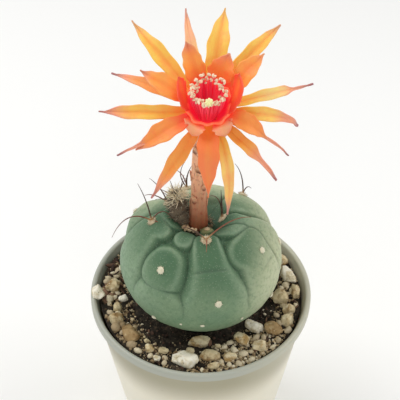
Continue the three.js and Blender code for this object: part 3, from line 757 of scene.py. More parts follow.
@dataclass(frozen=True)
class StemSkin:
    """Matt grey-green skin, paler towards the foot, with painted shade over the top, in the creases and in
    the sunk crown, and painted light on the flanks, the back and beside the creases.
    """

    shoulder: str = "778F6E"
    patch: str = "6C8768"
    # upper is painted shade over the top, and also tints the fine random mottle; deep is painted shade in
    # the creases, seams and sunk crown
    upper: str = "476A4C"
    deep: str = "31503B"
    # the flank colour is painted light on the left side and painted highlights beside the creases; east is
    # painted light on the right side and the back
    flank_light: str = "90A78B"
    east: str = "C0C4A1"
    foot: str = "8B9A7C"
    young: str = "807E54"
    dot: str = "AEBCA2"
    foot_band: tuple[float, float] = (0.048, 0.06)

    def material(self) -> bpy.types.Material:
        """Builds the material.

        Returns:
            The finished material.
        """
        tree = Tree("stem_skin")
        broad = tree.speckle(6.0, 5.0)
        fine = tree.speckle(0.9, 5.0, 0.7)
        colour = tree.mix(broad.between(0.35, 0.65), self.shoulder, self.patch)
        # painted light: the left side paler
        colour = tree.mix((0 - tree.across()).between(0.006, 0.021) * 0.75, colour, self.flank_light)
        colour = tree.mix((1 - tree.height().between(*self.foot_band)) * 0.35, colour, self.foot)
        # painted shade over the top, then painted highlights beside the creases
        colour = tree.tint(colour, ("upper", 0.92, self.upper), ("edge", 0.58, self.flank_light))
        # painted light on the right side and on the back
        colour = tree.tint(colour, ("east", 0.95, self.east), ("back", 0.95, self.east))
        # painted shade in the creases, deeper where the top is shaded
        shade = tree.painted("crease") * (0.25 + 0.35 * tree.painted("upper"))
        colour = tree.mix(shade, colour, self.deep)
        # painted shade along the seams and folds and in the sunk crown
        colour = tree.tint(colour, ("seam", 0.65, self.deep), ("crown", 0.7, self.deep))
        colour = tree.tint(colour, ("young", 0.85, self.young))
        dots = 1 - tree.cells(0.5).between(0.08, 0.34)
        colour = tree.mix(dots * 0.26, colour, self.dot)
        colour = tree.mix(fine.between(0.45, 0.66) * 0.34, colour, self.upper)
        return tree.surface(
            Base_Color=colour,
            Roughness=0.54 + 0.2 * fine,
            Normal=tree.bump(dots * 0.4 + fine * 0.6, 0.1),
            Subsurface_Weight=0.1,
            Subsurface_Radius=(0.5, 1.0, 0.5),
            Subsurface_Scale=1.0 * MM,
            Specular_IOR_Level=0.3,
        )


@dataclass(frozen=True)
class SpineWood:
    """Thin woody spines, tan at the root, dark brown to the tip, some of them reddish."""

    root: str = "B08A5E"
    shaft: str = "3D2D25"
    warm: str = "8A4B35"

    def material(self) -> bpy.types.Material:
        """Builds the material.

        Returns:
            The finished material.
        """
        tree = Tree("spine_wood")
        along = tree.painted("along")
        shaft = tree.mix(tree.painted("tone"), self.shaft, self.warm)
        colour = tree.mix(along.between(0.02, 0.2), self.root, shaft)
        grain = tree.speckle(0.35, 3.0)
        colour = tree.mix(grain.between(0.5, 0.7) * 0.3, colour, self.root)
        return tree.surface(Base_Color=colour, Roughness=0.5 + 0.2 * grain, Normal=tree.bump(grain, 0.02))


@dataclass(frozen=True)
class PlantWool:
    """Fine wool: each hair runs from a dark root to a pale tip, and tone picks how pale it is."""

    name: str
    root: str
    dark: str
    pale: str
    sheen: float = 0.4

    def material(self) -> bpy.types.Material:
        """Builds the material.

        Returns:
            The finished material.
        """
        tree = Tree(self.name)
        colour = tree.mix(tree.painted("tone"), self.dark, self.pale)
        colour = tree.mix(1 - tree.painted("along").between(0.0, 0.45), colour, self.root)
        fluff = tree.speckle(0.4, 4.0)
        colour = tree.mix(fluff.between(0.5, 0.8) * 0.2, colour, self.root)
        return tree.surface(
            Base_Color=colour,
            Roughness=0.85,
            Normal=tree.bump(fluff, 0.08),
            Sheen_Weight=self.sheen,
            Sheen_Roughness=0.5,
        )


@dataclass(frozen=True)
class TubeSkin:
    """Salmon-brown skin with darker streaks along the tube, greyer towards the top."""

    low: str = "8C4B2B"
    high: str = "F4B68C"
    streak: str = "8B8468"
    fleck: str = "A34F38"

    def material(self) -> bpy.types.Material:
        """Builds the material.

        Returns:
            The finished material.
        """
        tree = Tree("tube_skin")
        along = tree.grid("Y")
        colour = tree.mix(along.between(0.02, 0.6), self.low, self.high)
        lines = tree.streaks((26.0, 7.0, 1.0))
        colour = tree.mix(lines.between(0.5, 0.68) * (0.2 + 0.5 * along), colour, self.streak)
        flecks = tree.streaks((17.0, 34.0, 1.0)).between(0.52, 0.66)
        colour = tree.mix(flecks * 0.55, colour, self.fleck)
        fine = tree.speckle(0.6, 5.0, 0.65)
        return tree.surface(
            Base_Color=colour,
            Roughness=0.6,
            Normal=tree.bump(lines * 0.4 + flecks * 0.5 + fine * 0.4, 0.16),
            Subsurface_Weight=0.15,
            Subsurface_Scale=0.8 * MM,
        )


@dataclass(frozen=True)
class TepalSkin:
    """Satin petal skin whose colour runs from throat to tip, with a warm streak down its middle and a
    painted glow.

    The vertices' own numbers shift it: blush turns yellow into orange, pale turns it to cream, and
    faded sets how rosy and mauve its end is.
    """

    name: str
    root: str
    edge: str
    blushed: str
    streak: str
    tip: str
    root_end: float = 0.3
    rosy: str = "E6987A"
    cream: str = "FBE3AE"
    # glow is a painted glow: the skin gives off its own colour as light
    painted_glow: float = 0.08

    def material(self) -> bpy.types.Material:
        """Builds the material.

        Returns:
            The finished material.
        """
        tree = Tree(self.name)
        along = tree.grid("Y")
        off_centre = abs(tree.grid("X") - 0.5) * 2.0
        veins = tree.streaks((26.0, 3.0, 1.0))
        patches = tree.speckle(2.6, 3.0)
        colour = tree.mix(tree.painted("blush"), self.edge, self.blushed)
        middle = (1 - off_centre.between(0.05, 0.6)) * (0.45 + 0.5 * along)
        colour = tree.mix(middle * 0.75, colour, self.streak)
        colour = tree.mix(veins.between(0.45, 0.75) * 0.35, colour, self.streak)
        colour = tree.mix(patches.between(0.45, 0.7) * 0.3, colour, self.blushed)
        colour = tree.mix(1 - along.between(0.02, self.root_end), colour, self.root)
        colour = tree.mix(tree.painted("pale") * along.between(0.2, 0.5), colour, self.cream)
        tail = (along - tree.painted("tail_from")).between(-0.1, 0.16)
        ends = tail + off_centre.between(0.5, 1.0) * along.between(0.45, 0.8) * 0.5
        colour = tree.mix(ends * tree.painted("faded"), colour, self.rosy)
        colour = tree.mix(along.between(0.76, 1.0) * tree.painted("faded"), colour, self.tip)
        return tree.surface(
            Base_Color=colour,
            Roughness=0.42 + 0.15 * veins,
            Normal=tree.bump(veins, 0.07),
            # painted glow
            Emission_Color=colour,
            Emission_Strength=self.painted_glow,
            Subsurface_Weight=0.3,
            Subsurface_Radius=(1.0, 0.5, 0.2),
            Subsurface_Scale=0.9 * MM,
        )


@dataclass(frozen=True)
class Throat:
    """Skin of the cup: crimson deep inside, red-orange at its lip and salmon outside, with a painted glow.
    """

    crimson: str = "E8203F"
    lip: str = "F5734C"
    outside: str = "EE8A5C"
    vein: str = "C2153A"

    def material(self) -> bpy.types.Material:
        """Builds the material.

        Returns:
            The finished material.
        """
        tree = Tree("throat")
        along = tree.grid("Y")
        colour = tree.mix(along.between(0.42, 0.5), self.outside, self.lip)
        colour = tree.mix(along.between(0.5, 0.62), colour, self.crimson)
        veins = tree.streaks((60.0, 2.0, 1.0))
        colour = tree.mix(veins.between(0.5, 0.75) * 0.3, colour, self.vein)
        return tree.surface(
            Base_Color=colour,
            Roughness=0.42,
            Normal=tree.bump(veins, 0.1),
            # painted glow: the cup gives off its own colour
            Emission_Color=colour,
            Emission_Strength=0.3,
            Subsurface_Weight=0.25,
            Subsurface_Scale=0.8 * MM,
        )


@dataclass(frozen=True)
class SoftGrain:
    """A soft matt skin between two colours, for filaments, anthers and stigma, with a painted glow."""

    name: str
    low: str
    high: str
    grain: float = 0.3
    # glow is a painted glow: the skin gives off its own colour as light
    painted_glow: float = 0.08

    def material(self) -> bpy.types.Material:
        """Builds the material.

        Returns:
            The finished material.
        """
        tree = Tree(self.name)
        fine = tree.speckle(self.grain, 4.0)
        colour = tree.mix(tree.painted("tone"), self.low, self.high)
        colour = tree.mix(fine.between(0.5, 0.75) * 0.4, colour, self.low)
        return tree.surface(
            Base_Color=colour,
            Roughness=0.6,
            Normal=tree.bump(fine, 0.05),
            # painted glow
            Emission_Color=colour,
            Emission_Strength=self.painted_glow,
        )


@dataclass(frozen=True)
class Pumice:
    """Rough gravel: its own colour with stains, dark pits and pale crystals."""

    name: str
    base: str
    stain: str
    pale: str
    pit: str = "5B4B3C"

    def material(self) -> bpy.types.Material:
        """Builds the material.

        Returns:
            The finished material.
        """
        tree = Tree(self.name)
        stain = tree.speckle(2.6, 4.0, 0.6)
        colour = tree.mix(stain.between(0.42, 0.66), self.base, self.stain)
        colour = tree.mix(tree.speckle(1.1, 3.0).between(0.55, 0.7) * 0.6, colour, self.pale)
        pits = 1 - tree.cells(0.75).between(0.06, 0.3)
        colour = tree.mix(pits * stain.between(0.4, 0.6) * 0.55, colour, self.pit)
        grit = tree.speckle(0.45, 6.0, 0.7)
        colour = tree.mix(grit.between(0.55, 0.72) * 0.3, colour, self.stain)
        return tree.surface(
            Base_Color=colour,
            Roughness=0.92,
            Normal=tree.bump(grit - pits * 0.6, 0.22),
            Specular_IOR_Level=0.25,
        )


@dataclass(frozen=True)
class Paper:
    """Plain pale floor."""

    tone: str = "F6F6F4"
    shade: str = "EDEDEA"

    def material(self) -> bpy.types.Material:
        """Builds the material.

        Returns:
            The finished material.
        """
        tree = Tree("paper_floor")
        tooth = tree.speckle(3.0, 2.0)
        return tree.surface(Base_Color=tree.mix(tooth * 0.04, self.tone, self.shade), Roughness=0.9)


@dataclass
class Pot:
    """The thin round nursery pot with its rolled lip and drain holes."""

    height: float = 50.0
    rim_radius: float = 27.5
    lip_width: float = 1.4
    lip_height: float = 2.4
    collar_radius: float = 26.4
    base_radius: float = 19.5
    wall: float = 0.9
    floor: float = 1.2
    recess: float = 0.35
    drain_radius: float = 2.0
    drain_circle: float = 12.5
    drain_holes: int = 6
    sides: int = 160

    def outside(self, height: float) -> float:
        """Radius of the outer wall at a height over the ground."""
        widening = self.collar_radius - self.base_radius
        return self.base_radius + widening * height / (self.height - self.lip_height)

    def profile(self) -> list[tuple[float, float]]:
        """Draws the section of the wall.

        Returns:
            Radius and height of each point, from the floor's middle outside to its middle inside.
        """
        lip_foot = self.height - self.lip_height
        bead = self.lip_width / 2
        outer = [(radius, self.recess) for radius in (0, self.drain_circle + 4, self.base_radius - 1.2)]
        outer += [(self.base_radius - 0.9, 0), (self.base_radius - 0.35, 0), (self.outside(0.4), 0.4)]
        outer += [(self.outside(h), h) for h in np.linspace(3, lip_foot - 0.15, 16)]
        lip = [(self.rim_radius - 0.35, lip_foot + 0.05), (self.rim_radius, lip_foot + 0.35)]
        lip += [(self.rim_radius, lip_foot + h) for h in (0.9, 1.5)]
        lip += [
            (self.rim_radius - bead + bead * math.cos(a), self.height - bead + bead * math.sin(a))
            for a in np.radians(range(0, 181, 15))
        ]
        levels = np.linspace(lip_foot - 0.6, self.floor + 1.0, 14)
        inner = [(self.outside(h) - self.wall, h) for h in levels]
        inner += [(self.outside(self.floor) - self.wall - 0.8, self.floor + 0.1), (0, self.floor)]
        return outer + lip + inner

    def build(self) -> None:
        """Draws the section, spins it round and cuts the drain holes."""
        section = self.profile()
        sizes = {"x_subdivisions": len(section) - 1, "y_subdivisions": 1, "size": 1.0}
        pot = add(bpy.ops.mesh.primitive_grid_add, **sizes)
        bpy.ops.object.mode_set(mode="EDIT")
        bpy.ops.mesh.select_all(action="DESELECT")
        bpy.ops.object.mode_set(mode="OBJECT")
        for vertex in pot.data.vertices:
            vertex.select = vertex.co.y > 0
        bpy.ops.object.mode_set(mode="EDIT")
        bpy.ops.mesh.delete(type="VERT")
        bpy.ops.object.mode_set(mode="OBJECT")
        order = np.argsort(np.argsort(corners(pot)[:, 0]))
        line = np.array(section)[order]
        reshape(pot, np.stack([line[:, 0], 0 * line[:, 0], line[:, 1]], -1))
        bpy.ops.object.mode_set(mode="EDIT")
        bpy.ops.mesh.select_all(action="SELECT")
        bpy.ops.mesh.spin(steps=self.sides, angle=2 * math.pi, axis=(0, 0, 1), center=(0, 0, 0))
        closed(pot)
        for index in range(self.drain_holes):
            angle = 2 * math.pi * (index + 0.5) / self.drain_holes
            place = (self.drain_circle * math.cos(angle) * MM, self.drain_circle * math.sin(angle) * MM, 0)
            drill = add(
                bpy.ops.mesh.primitive_cylinder_add,
                vertices=40,
                radius=self.drain_radius * MM,
                depth=6 * MM,
                location=place,
            )
            finish_with(pot, "BOOLEAN", object=drill, operation="DIFFERENCE", solver="EXACT")
            bpy.data.objects.remove(drill)
        settle(pot, "pot_moulded", PotPlastic().material(), ["pot"])
        bpy.ops.object.shade_smooth_by_angle(angle=math.radians(42))


@dataclass
class Stem:
    """The low globular stem: nine ribs of round tubercles round a sunk crown, with young ones between.

    Each rib runs down through knots, which give its turn and latitude, its half width, all in
    degrees, and how low it lies.
    """

    middle: float = 11.15
    radius: float = 19.6
    rise: float = 15.64
    crown_depth: float = 3.9
    crown_floor: float = 0.13
    crown_edge: float = 0.46
    crease_depth: float = 1.5
    crease_power: float = 3.6
    softness: float = 0.06
    fullness: float = 0.8
    seam_width: float = 0.34
    seam_depth: float = 0.3
    waist: float = -44.0
    foot_radius: float = 8.0
    foot_level: float = -8.0
    crown_bud: tuple[float, float] = (24, 79.5)
    segments: int = 360
    rings: int = 220
    ribs: tuple[tuple[Knot, ...], ...] = (
        ((8, 70, 8, 0.35), (8, 64, 10, 0), (9, 52, 12.5, 0.05), (10, 41, 15.5, 0.25), (12, 13, 24, 0),
         (8, -45, 24, 0)),
        ((-30, 71, 7, 0.4), (-28, 64, 8.5, 0.3)),
        ((-35, 41, 14.5, 0), (-36, 34, 17, 0), (-36, 30, 17, 0.05)),
        ((-33, 8, 17, 0.1), (-33, 0, 22, 0.1), (-33, -45, 23, 0)),
        ((-66, 59, 8, 0.3), (-84, 54.5, 11.5, 0), (-80, 40, 17, 0), (-78, 20, 21, 0.1), (-78, -45, 23, 0)),
        ((-94, 66, 8, 0.2), (-76, 70, 7, 0.3)),
        ((-126, 62, 8, 1.2), (-124, 50, 11, 1.4), (-118, 27, 15, -0.6), (-122, 14, 21, 0),
         (-124, -45, 23, 0)),
        ((-166, 60, 10, 0.7), (-166, 50, 12, 0.5), (-166, 35, 17, 0.3), (-168, 5, 22, 0),
         (-168, -45, 23, 0)),
        ((161, 60, 9, 0.2), (160, 49, 11, -0.2), (160, 35, 16, 0.1), (163, 5, 20, 0), (165, -45, 22, 0)),
        ((120, 62, 9, 0.2), (124, 48, 12.5, -0.5), (125, 34, 16, -0.4), (130, 0, 20, 0), (132, -45, 22, 0)),
        ((82, 71, 7, 0.3), (86, 62, 7, 0.4), (89, 50, 8, 0.5), (90, 38, 11.5, 0.2), (93, 14, 18, 0),
         (95, -45, 21, 0)),
        ((46, 70, 7, 0.5), (60, 64, 7.5, 0.6), (76, 57, 6.5, 0.6)),
        ((49, 45, 14, 0), (66, 45, 14.5, 0), (59, 36, 18, 0), (58, 20, 21, 0.15), (57, 0, 22.5, 0),
         (55, -45, 23, 0)),
        ((22, 80, 4.5, -0.8), (26, 79, 4.5, -0.8)),
    )
    folds: tuple[Knot, ...] = ((9, 41, 19, 0.9), (-36, 47, 9, 0.25), (62, 25, 12, 0.35))

    def heading(self, turn: Points | float, latitude: Points | float) -> Points:
        """Direction from the stem's middle."""
        angle = np.radians(latitude)
        return around(turn, np.cos(angle), np.sin(angle))

    def under_rib(self, here: Points, rib: tuple[Knot, ...]) -> Points:
        """Measures the depth under one rib's top.

        Args:
            here: Directions from the stem's middle.
            rib: The rib's knots.

        Returns:
            The depth at each direction.
        """
        lowest = np.full(len(here), np.inf)
        for first, last in zip(rib, rib[1:]):
            ends = [self.heading(knot[0], knot[1]) for knot in (first, last)]
            for share in np.linspace(0, 1, 6):
                middle = unit(ends[0] + (ends[1] - ends[0]) * share)
                width, low = (first[i] + (last[i] - first[i]) * share for i in (2, 3))
                gap = np.degrees(np.arccos(np.clip(here @ middle, -1, 1)))
                lowest = np.minimum(lowest, low + self.crease_depth * (gap / width) ** self.crease_power)
        return lowest

    def crease(self, turn: Points, latitude: Points) -> tuple[Points, Points]:
        """Depth under the tops of the tubercles, and the fine seams between them.

        Args:
            turn: Degrees round from the front.
            latitude: Degrees up from the stem's widest ring.

        Returns:
            The depth at each place, and how near a seam it is, from 0 to 1.
        """
        here = self.heading(turn, latitude)
        depths = np.sort([self.under_rib(here, rib) for rib in self.ribs], axis=0)
        total = np.maximum(np.exp(-depths / self.softness).sum(0), 1e-30)
        depth = np.minimum(-self.softness * np.log(total), 1.6 * self.crease_depth)
        depth = depth * smooth(latitude, -20, 30)
        seam = np.exp(-(depths[1] - depths[0]) / self.seam_width) * smooth(latitude, -30, 26)
        seam = seam * smooth(depth, 0.1, 0.6)
        for fold_turn, fold_latitude, reach, strength in self.folds:
            aside = (turn - fold_turn) / reach
            along = latitude - fold_latitude + 2.5 * aside**2
            fold = strength * np.exp(-((along / 1.3) ** 2)) * (1 - smooth(np.abs(aside), 0.5, 1.0))
            seam = np.maximum(seam, fold)
        return self.fullness * depth + self.seam_depth * seam, seam

    def surface(self, turn: Points | float, latitude: Points | float, clear: float = 0.0) -> Points:
        """Places points on the skin.

        Args:
            turn: Degrees round from the front.
            latitude: Degrees up from the stem's widest ring.
            clear: Height over the skin.

        Returns:
            The points, with heights over the rim.
        """
        turn = np.atleast_1d(np.asarray(turn, float))
        turn, latitude = np.broadcast_arrays(turn, np.asarray(latitude, float))
        held = np.maximum(latitude, self.waist)
        cos, sin = np.cos(np.radians(held)), np.sin(np.radians(held))
        sunk = self.crown_depth * (1 - smooth(cos, self.crown_floor, self.crown_edge))
        sunk = np.where(held > 0, sunk, 0)
        out = unit(np.stack([cos / self.radius, sin / self.rise], -1))
        lift = clear - self.crease(turn, held)[0]
        radius = self.radius * cos + lift * out[:, 0]
        height = self.middle + self.rise * sin - sunk + lift * out[:, 1]
        sunk_part = np.clip((self.waist - latitude) / 20, 0, 1)
        radius = radius + (self.foot_radius - radius) * sunk_part
        height = height + (self.foot_level - height) * sunk_part
        under = np.clip((self.waist - 20 - latitude) / (90 + self.waist - 20), 0, 1)
        return around(turn, radius * (1 - under), height)

    def normal(self, turn: float, latitude: float) -> Points:
        """Finds the direction out of the skin.

        Args:
            turn: Degrees round from the front.
            latitude: Degrees up from the stem's widest ring.

        Returns:
            The direction at that place.
        """
        step = 1.5
        turns = np.array([turn + step, turn - step, turn, turn])
        latitudes = np.array([latitude, latitude, latitude + step, latitude - step])
        east, west, north, south = self.surface(turns, latitudes)
        return unit(np.cross(east - west, north - south))

    def seat(self, place: tuple[float, float]) -> tuple[Points, Points, Points, Points]:
        """Finds a place on the skin and its directions.

        Args:
            place: Turn and latitude.

        Returns:
            The point, and the directions sideways, up along the skin and out of it.
        """
        out = self.normal(*place)
        side = unit(np.cross([0, 0, 1], out))
        return self.surface(*place)[0], side, np.cross(out, side), out

    def build(self) -> None:
        """Shapes a fine ball into the stem."""
        sizes = {"segments": self.segments, "ring_count": self.rings, "radius": MM}
        stem = add(bpy.ops.mesh.primitive_uv_sphere_add, **sizes)
        ball = unit(corners(stem))
        turn = np.degrees(np.arctan2(ball[:, 0], -ball[:, 1]))
        latitude = np.degrees(np.arcsin(np.clip(ball[:, 2], -1, 1)))
        points = self.surface(turn, latitude)
        wrinkle = rough(points, 5.0, 3) * 0.1 + rough(points, 1.4, 3, 7.0) * 0.02
        reshape(stem, planted(points + ball * wrinkle[:, None]))
        depth, seam = self.crease(turn, np.maximum(latitude, self.waist))
        from_bud = np.degrees(np.arccos(np.clip(ball @ self.heading(*self.crown_bud), -1, 1)))
        # back marks painted light on the stem's back
        back = smooth(points[:, 1], 1, 15) * smooth(latitude, 5, 35)
        dome = 1 - smooth(depth, 0.1, 0.7)
        # edge marks painted highlights beside the creases
        edge = smooth(depth, 0.15, 0.5) * (1 - smooth(depth, 0.6, 1.0)) * smooth(latitude, -5, 25)
        edge = edge * (0.5 + 0.5 * smooth(latitude, 46, 60)) * (1 - smooth(latitude, 62, 78))
        flanks = smooth(abs(points[:, 0]), 9, 16)
        # upper marks painted shade over the top: stronger on the domes, weaker on the flanks, none on the
        # back
        upper = smooth(latitude, 10, 46) * (0.65 + 0.35 * dome) * (1 - back) * (1 - 0.5 * flanks)
        # crease and seam mark painted shade in the creases and along the seams
        paint(stem, "crease", smooth(depth, 0.6, 1.5))
        paint(stem, "seam", seam)
        paint(stem, "edge", edge)
        paint(stem, "upper", upper)
        # east marks painted light on the right side, less where the top is shaded
        paint(stem, "east", smooth(points[:, 0], 6, 18.5) * (1 - 0.75 * upper))
        # crown marks painted shade in the sunk crown
        paint(stem, "crown", smooth(latitude, 56, 76) * (1 - back))
        paint(stem, "back", back)
        paint(stem, "young", 1 - smooth(from_bud, 3.6, 5.2))
        closed(stem)
        settle(stem, "stem", StemSkin().material(), ["cactus_body"])


@dataclass(frozen=True)
class Spread:
    """How one kind of bits lies on the soil: sizes, reach from the axis, turns and shape."""

    sizes: tuple[float, float]
    reach: tuple[float, float]
    turns: tuple[float, float] = (-180, 180)
    shape: Triple = (1, 0.8, 0.62)


@dataclass
class Soil:
    """Peaty mix in the pot, with crumbs, grit, small stones and bark chips on it."""

    level: float = -4.3
    rise: float = 1.7
    bank: float = 1.0
    radius: float = 25.15
    depth: float = 44.0
    grid: tuple[int, int] = (400, 120)
    crumbs: int = 1100
    grit: int = 300
    dust: int = 520
    pebbles: int = 70
    chips: int = 34
    seed: int = 11
    measured: tuple[tuple[float, float, float, float, float], ...] = (
        (-85, 21.8, 1.6, 1.1, 0.9), (-72, 23.4, 1.8, 1.4, 0.5), (-60, 23.9, 2.5, 2.2, 0.15),
        (-44.5, 23.7, 2.3, 2.0, 0.2), (-38.5, 24.0, 2.0, 1.4, 0.8), (-31, 23.4, 1.4, 1.2, 0.8),
        (-21.4, 23.7, 1.5, 1.2, 0.6), (-22.5, 22.2, 1.5, 1.2, 0.5), (0.6, 23.9, 1.2, 1.0, 1.0),
        (12.6, 21.9, 1.4, 1.2, 0.7), (19, 17.2, 1.6, 1.2, 0.9), (16.6, 23.3, 1.4, 1.1, 0.9),
        (24, 19.2, 2.0, 1.5, 0.95), (28, 21.4, 2.2, 1.7, 0.8), (25.5, 16.4, 1.7, 1.3, 0.85),
        (22, 23.9, 1.8, 1.4, 0.7), (30, 24.0, 1.6, 1.3, 0.9), (33, 22.0, 1.4, 1.2, 0.6),
        (44, 19.1, 2.2, 1.4, 0.5), (47.5, 20.6, 1.9, 1.4, 0.45), (45.5, 24.2, 1.8, 1.0, 1.0),
        (51, 24.0, 1.6, 1.2, 0.5), (62, 24.2, 1.4, 1.0, 0.7), (70, 19.9, 1.6, 1.3, 0.4),
        (96, 20.6, 1.3, 1.1, 0.9), (110, 20.2, 1.8, 1.3, 0.5), (-100.5, 23.9, 1.6, 1.3, 0.6),
        (-108, 22.4, 2.2, 1.7, 0.5), (-3.6, 19.7, 1.3, 1.0, 0.6), (-14.6, 18.9, 1.5, 1.1, 0.7),
    )

    def face(self, turn: Points, radius: Points) -> Points:
        """Height of the soil's surface over the rim, without its fine crumb.

        Args:
            turn: Degrees from the front.
            radius: Distance from the axis.

        Returns:
            The height.
        """
        slope = self.rise * smooth(radius, 12, 25)
        bank = self.bank * np.maximum(0, -np.sin(np.radians(turn))) * smooth(radius, 15, 25)
        return self.level + slope + bank

    def top(self, across: Points, along: Points) -> Points:
        """Lays the surface from the pot's wall in to the stem's foot.

        Args:
            across: Place round the pot.
            along: Place inwards.

        Returns:
            The points.
        """
        turn = across * 360 - 180
        radius = self.radius * (1 - along) ** 0.9
        plain = around(turn, radius, self.face(turn, radius))
        crumb = rough(plain, 3.4, 5, 3.0) * 0.55 + rough(plain, 1.0, 3, 9.0) * 0.2
        under_stem = np.maximum((radius - 8) * 1.358, 0) - 8.6
        plain[:, 2] = np.minimum(plain[:, 2] + crumb, under_stem)
        return planted(plain)

    def build(self, pot: Pot) -> None:
        """Lays the surface, closes it below and strews what lies on it.

        Args:
            pot: The pot that it fills.
        """
        soil = skin(*self.grid, self.top)
        closed(soil)
        pick(soil)
        bpy.ops.object.mode_set(mode="EDIT")
        bpy.ops.mesh.select_all(action="DESELECT")
        bpy.ops.mesh.select_non_manifold(extend=False)
        foot = pot.outside(RIM_HEIGHT - self.depth) - pot.wall - 0.4
        bpy.ops.mesh.extrude_region_move(TRANSFORM_OT_translate={"value": (0, 0, -(self.depth - 4) * MM)})
        bpy.ops.transform.resize(value=(foot / self.radius, foot / self.radius, 0))
        bpy.ops.mesh.edge_face_add()
        closed(soil)
        settle(soil, "soil_surface", PottingMix().material(), ["soil"])
        draw = random.Random(self.seed)
        fibre = Crumbs("crumbs", "161211", "5C4436")
        grit = Crumbs("grit", "A08C66", "ECE2C8", 0.4)
        bark = Crumbs("bark", "3A2A22", "93715A", 0.9, 0.14)
        sand = Crumbs("sand", "80694B", "DCC9A2", 0.4)
        layers = (
            ("soil_crumbs", fibre, self.crumbs, Spread((0.35, 1.2), (10.8, 24.8))),
            ("soil_grit", grit, self.grit, Spread((0.35, 1.0), (15, 24.8))),
            ("soil_grit_front", grit, self.dust, Spread((0.3, 1.3), (15.5, 24.8), (8, 52))),
            ("soil_sand_left", sand, self.dust, Spread((0.3, 1.4), (17.5, 24.8), (-125, -50))),
            ("soil_sand_front", sand, 2 * self.dust, Spread((0.3, 1.2), (19, 24.8), (-60, 110))),
            ("bark_chips", bark, self.chips, Spread((1.2, 3.2), (19.5, 24.6), (-118, -82), (1.4, 0.7, 0.3))),
            ("bark_bits", bark, 3 * self.chips, Spread((0.7, 1.9), (14, 24.6), shape=(1.5, 0.6, 0.35))),
        )
        for name, finish, count, spread in layers:
            strewn = self.strewn(draw, count, spread)
            settle(strewn, name, finish.material())
        self.lay_pebbles(draw)

    def strewn(self, draw: random.Random, count: int, spread: Spread) -> bpy.types.Object:
        """Strews one kind of bits over the soil.

        Args:
            draw: Source of places and turns.
            count: Number of bits.
            spread: Their sizes and where they lie.

        Returns:
            The mesh object.
        """
        shape = lump(spread.shape, 1, 0.8, 0.18, draw.uniform(0, 9))
        turn = np.array([draw.uniform(*spread.turns) for _ in range(count)])
        near, far = spread.reach
        radius = np.sqrt([draw.uniform(near**2, far**2) for _ in range(count)])
        least, most = spread.sizes
        size = np.array([least + (most - least) * draw.random() ** 2.2 for _ in range(count)])
        places = around(turn, radius, self.face(turn, radius) + size * 0.12)
        axes = [tumbled(draw, s) for s in size]
        return strew(shape, places, axes, [draw.random() ** 1.6 for _ in range(count)])

    def lay_pebbles(self, draw: random.Random) -> None:
        """Lays the small stones, some at their own places and the rest in a band.

        Args:
            draw: Source of the band's stones and of all turns.
        """
        rows = [*self.measured]
        for index in range(self.pebbles):
            turn = 55 + 250 * (index + draw.random()) / self.pebbles
            length = draw.uniform(1.0, 2.2)
            radius = draw.uniform(20.2, 24.4)
            rows.append((turn, radius, length, length * draw.uniform(0.6, 0.9), draw.random()))
        shape = lump((1, 1, 1), 3, 0.9, 0.16, 2.5)
        turn, radius, length, width, tone = np.array(rows).T
        places = around(turn, radius, self.face(turn, radius) + width * 0.22)
        axes = []
        for long_side, short_side in zip(length, width):
            spin = draw.uniform(0, math.pi)
            cos, sin = math.cos(spin), math.sin(spin)
            flat = np.array([[cos, sin, 0], [-sin, cos, 0], [0, 0, 1]])
            axes.append(flat * np.array([long_side, short_side, short_side * 0.8])[:, None])
        pale = Crumbs("pebble", "9C8460", "E9DEC0", 0.5, 0.14)
        settle(strew(shape, places, axes, tone), "small_pebbles", pale.material())


